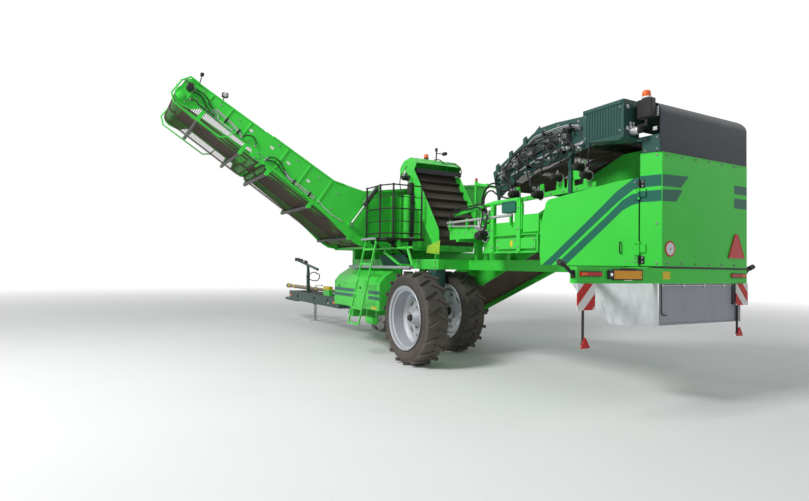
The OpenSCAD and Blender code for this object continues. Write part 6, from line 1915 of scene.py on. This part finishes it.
class HARVESTER_OT_right_side(bpy.types.Operator):
    """Adds folds, motors, guards and hoses of the right side and the bunker"""
    bl_idname = "harvester.right_side"
    bl_label = "Right Side"

    def execute(self, context):
        self.channel()
        self.arm_side()
        self.bunker()
        self.panel()
        return {"FINISHED"}

    def on_channel(self, u, v, x):
        """A point beside the main web: u from its upper end down its slope, v square to it."""
        (y0, z0), (y1, z1) = (0.60, 3.13), (6.18, 0.82)
        length = math.hypot(y1 - y0, z1 - z0)
        cy, cz = (y1 - y0) / length, (z1 - z0) / length
        return at(x, y0 + u * cy - v * cz, z0 + u * cz + v * cy)

    def channel(self):
        """Folds, bolts, hoses and the drive's guard on the web channel's right plate."""
        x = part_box("web_frame")[1].x - ORIGIN.x - 0.012
        folds = []
        for u in (1.9, 2.6, 3.3, 4.0, 4.7):
            corners = [self.on_channel(u + a, b, x)
                for a, b in ((-0.025, -0.17), (0.025, -0.17), (0.025, 0.38), (-0.025, 0.38))]
            folds.append(beam(corners, 0.030, 0.006))
        low = [self.on_channel(a, b, x) for a, b in ((1.5, -0.198), (5.8, -0.198), (5.8, -0.168),
                (1.5, -0.168))]
        folds.append(beam(low, 0.036, 0.005))
        piece("channel_folds", folds, "leaf")
        heads = [self.on_channel(1.75 + 0.35 * i, v, x + 0.006) for i in range(12) for v in (-0.12, 0.34)]
        bolted("channel_bolts", heads, RIGHTWARDS)
        cover = [block((x - 0.004, 5.86, 0.66), (x + 0.075, 6.34, 1.00), 0.020)]
        piece("web_drive_guard", cover, "black")
        hose_bank("channel_hoses", [[self.on_channel(5.25, 0.10 + 0.05 * k, x),
                    self.on_channel(5.20, 0.11 + 0.05 * k, x + 0.030),
                    self.on_channel(4.4, 0.13 + 0.05 * k, x + 0.024),
                    self.on_channel(3.4, 0.12 + 0.05 * k, x + 0.024),
                    self.on_channel(2.5, 0.13 + 0.05 * k, x + 0.026),
                    self.on_channel(2.05, 0.17 + 0.05 * k, x + 0.030),
                    self.on_channel(2.0, 0.18 + 0.05 * k, x)] for k in range(3)], 0.011)
        ties = [beam([self.on_channel(u + a, b, x + 0.024)
                    for a, b in ((-0.012, 0.09), (0.012, 0.09), (0.012, 0.26), (-0.012, 0.26))], 0.034, 0.004)
            for u in (4.75, 3.65, 2.95)]
        piece("channel_hose_ties", ties, "cap")

    def arm_side(self):
        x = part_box("upper_web")[1].x - ORIGIN.x + 0.010
        for i, (y, z) in enumerate(((2.95, 3.13), (1.25, 3.56))):
            parts = motor(at(x, y, z), (1, 0, 0), 0.055, 0.10)
            piece("arm_right_motor_%d" % i, parts, "black")
        heads = beside(x, ((3.20, 3.25), (3.10, 3.05), (2.75, 3.55), (2.30, 3.78), (2.05, 3.88), (1.70, 3.84),
                                         (1.90, 3.40), (2.35, 3.34), (1.45, 3.45), (1.35, 3.80)))
        bolted("arm_right_bolts", heads, (1, 0, 0), 0.030)
        rib = [beam(beside(x, ((3.28, 3.375), (2.17, 3.915), (2.16, 3.880), (3.26, 3.345))), 0.020, 0.004),
               beam(beside(x, ((2.16, 3.915), (1.82, 3.925), (1.82, 3.89), (2.15, 3.88))), 0.020, 0.004)]
        piece("arm_right_folds", rib, "pine")

    def bunker(self):
        """Folds on the sloping right wall, the tube on its edge and the front work light."""
        folds = []
        for y in (5.98, 6.36, 6.74, 7.12):
            # The wall leans outwards from (2.86, 2.11) to (3.26, 3.66)
            low, high = (2.898, 2.22), (3.244, 3.56)
            corners = [at(low[0] + 0.004, y, low[1]), at(low[0] + 0.004, y + 0.06, low[1]),
                at(high[0] + 0.004, y + 0.06, high[1]), at(high[0] + 0.004, y, high[1])]
            folds.append(beam(corners, 0.026, 0.006))
        for z, x in ((2.34, 2.932), (3.60, 3.252)):
            folds.append(beam([at(x, 5.81, z - 0.02), at(x, 7.49, z - 0.02), at(x + 0.010, 7.49, z + 0.02),
                        at(x + 0.010, 5.81, z + 0.02)], 0.022, 0.005))
        piece("right_wall_folds", folds, "leaf")
        lip = bent_tube([at(3.252, 5.80, 3.664), at(3.252, 7.50, 3.664)], 0.012)
        piece("wall_edge_tube", [lip], "leaf")
        lamps = [block((3.05, 7.545, 3.44), (3.15, 7.60, 3.52), 0.012),
            block((3.08, 7.535, 3.47), (3.12, 7.56, 3.62), 0.004)]
        piece("front_work_light", lamps, "black")
        face = turned_part(at(3.10, 7.598, 3.48), (0, 1, 0),
            [(0, 0.036), (0.003, 0.034), (0.006, 0.026), (0.007, 0.003)], 24)
        piece("front_work_light_lens", [face], "glass")

    def panel(self):
        """Latches, grip, blank label and reflectors of the right panel."""
        latches = [block((3.336, 1.40, z), (3.352, 1.47, z + 0.05), 0.005) for z in (1.95, 2.5, 3.0)]
        piece("right_panel_latches", latches, "black")
        grip = bent_tube([at(3.338, 1.28, 2.40), at(3.375, 1.28, 2.40), at(3.375, 1.28, 2.58),
                at(3.338, 1.28, 2.58)], 0.009, round_by=0.015)
        piece("right_panel_grip", [grip], "black")
        piece("right_panel_label", [block((3.338, 1.10, 1.84), (3.343, 1.22, 1.90), 0.001)], "white")
        # The orange lens finish glows faintly; on these reflectors, which are no lamps, it is a painted glow
        piece("right_side_reflectors", [block((3.338, y, 1.790), (3.348, y + 0.09, 1.825), 0.003)
                for y in (0.25, 1.30)], "orange")


OPERATORS = [
    HARVESTER_OT_stage,
    HARVESTER_OT_paint,
    HARVESTER_OT_webs,
    HARVESTER_OT_curtains,
    HARVESTER_OT_rear,
    HARVESTER_OT_top,
    HARVESTER_OT_arm,
    HARVESTER_OT_picking,
    HARVESTER_OT_elevator,
    HARVESTER_OT_platform,
    HARVESTER_OT_conveyor,
    HARVESTER_OT_wheels,
    HARVESTER_OT_front,
    HARVESTER_OT_rams,
    HARVESTER_OT_digger,
    HARVESTER_OT_right_side,
]


class HARVESTER_PT_panel(bpy.types.Panel):
    """Lists the harvester's colours, sizes and steps"""
    bl_idname = "HARVESTER_PT_panel"
    bl_label = "Potato Harvester"
    bl_space_type = "VIEW_3D"
    bl_region_type = "UI"
    bl_category = "Harvester"

    def draw(self, context):
        for group in (context.scene.harvester_colours, context.scene.harvester_sizes):
            for key in group.__annotations__:
                self.layout.prop(group, key)
        for operator in OPERATORS:
            self.layout.operator(operator.bl_idname)


CLASSES = [HarvesterColours, HarvesterSizes, *OPERATORS, HARVESTER_PT_panel]


def register():
    for cls in CLASSES:
        bpy.utils.register_class(cls)
    bpy.types.Scene.harvester_colours = bpy.props.PointerProperty(type=HarvesterColours)
    bpy.types.Scene.harvester_sizes = bpy.props.PointerProperty(type=HarvesterSizes)


def unregister():
    del bpy.types.Scene.harvester_sizes
    del bpy.types.Scene.harvester_colours
    for cls in reversed(CLASSES):
        bpy.utils.unregister_class(cls)


def main():
    register()
    for operator in OPERATORS:
        group, name = operator.bl_idname.split(".")
        getattr(getattr(bpy.ops, group), name)()


if __name__ == "__main__":
    main()
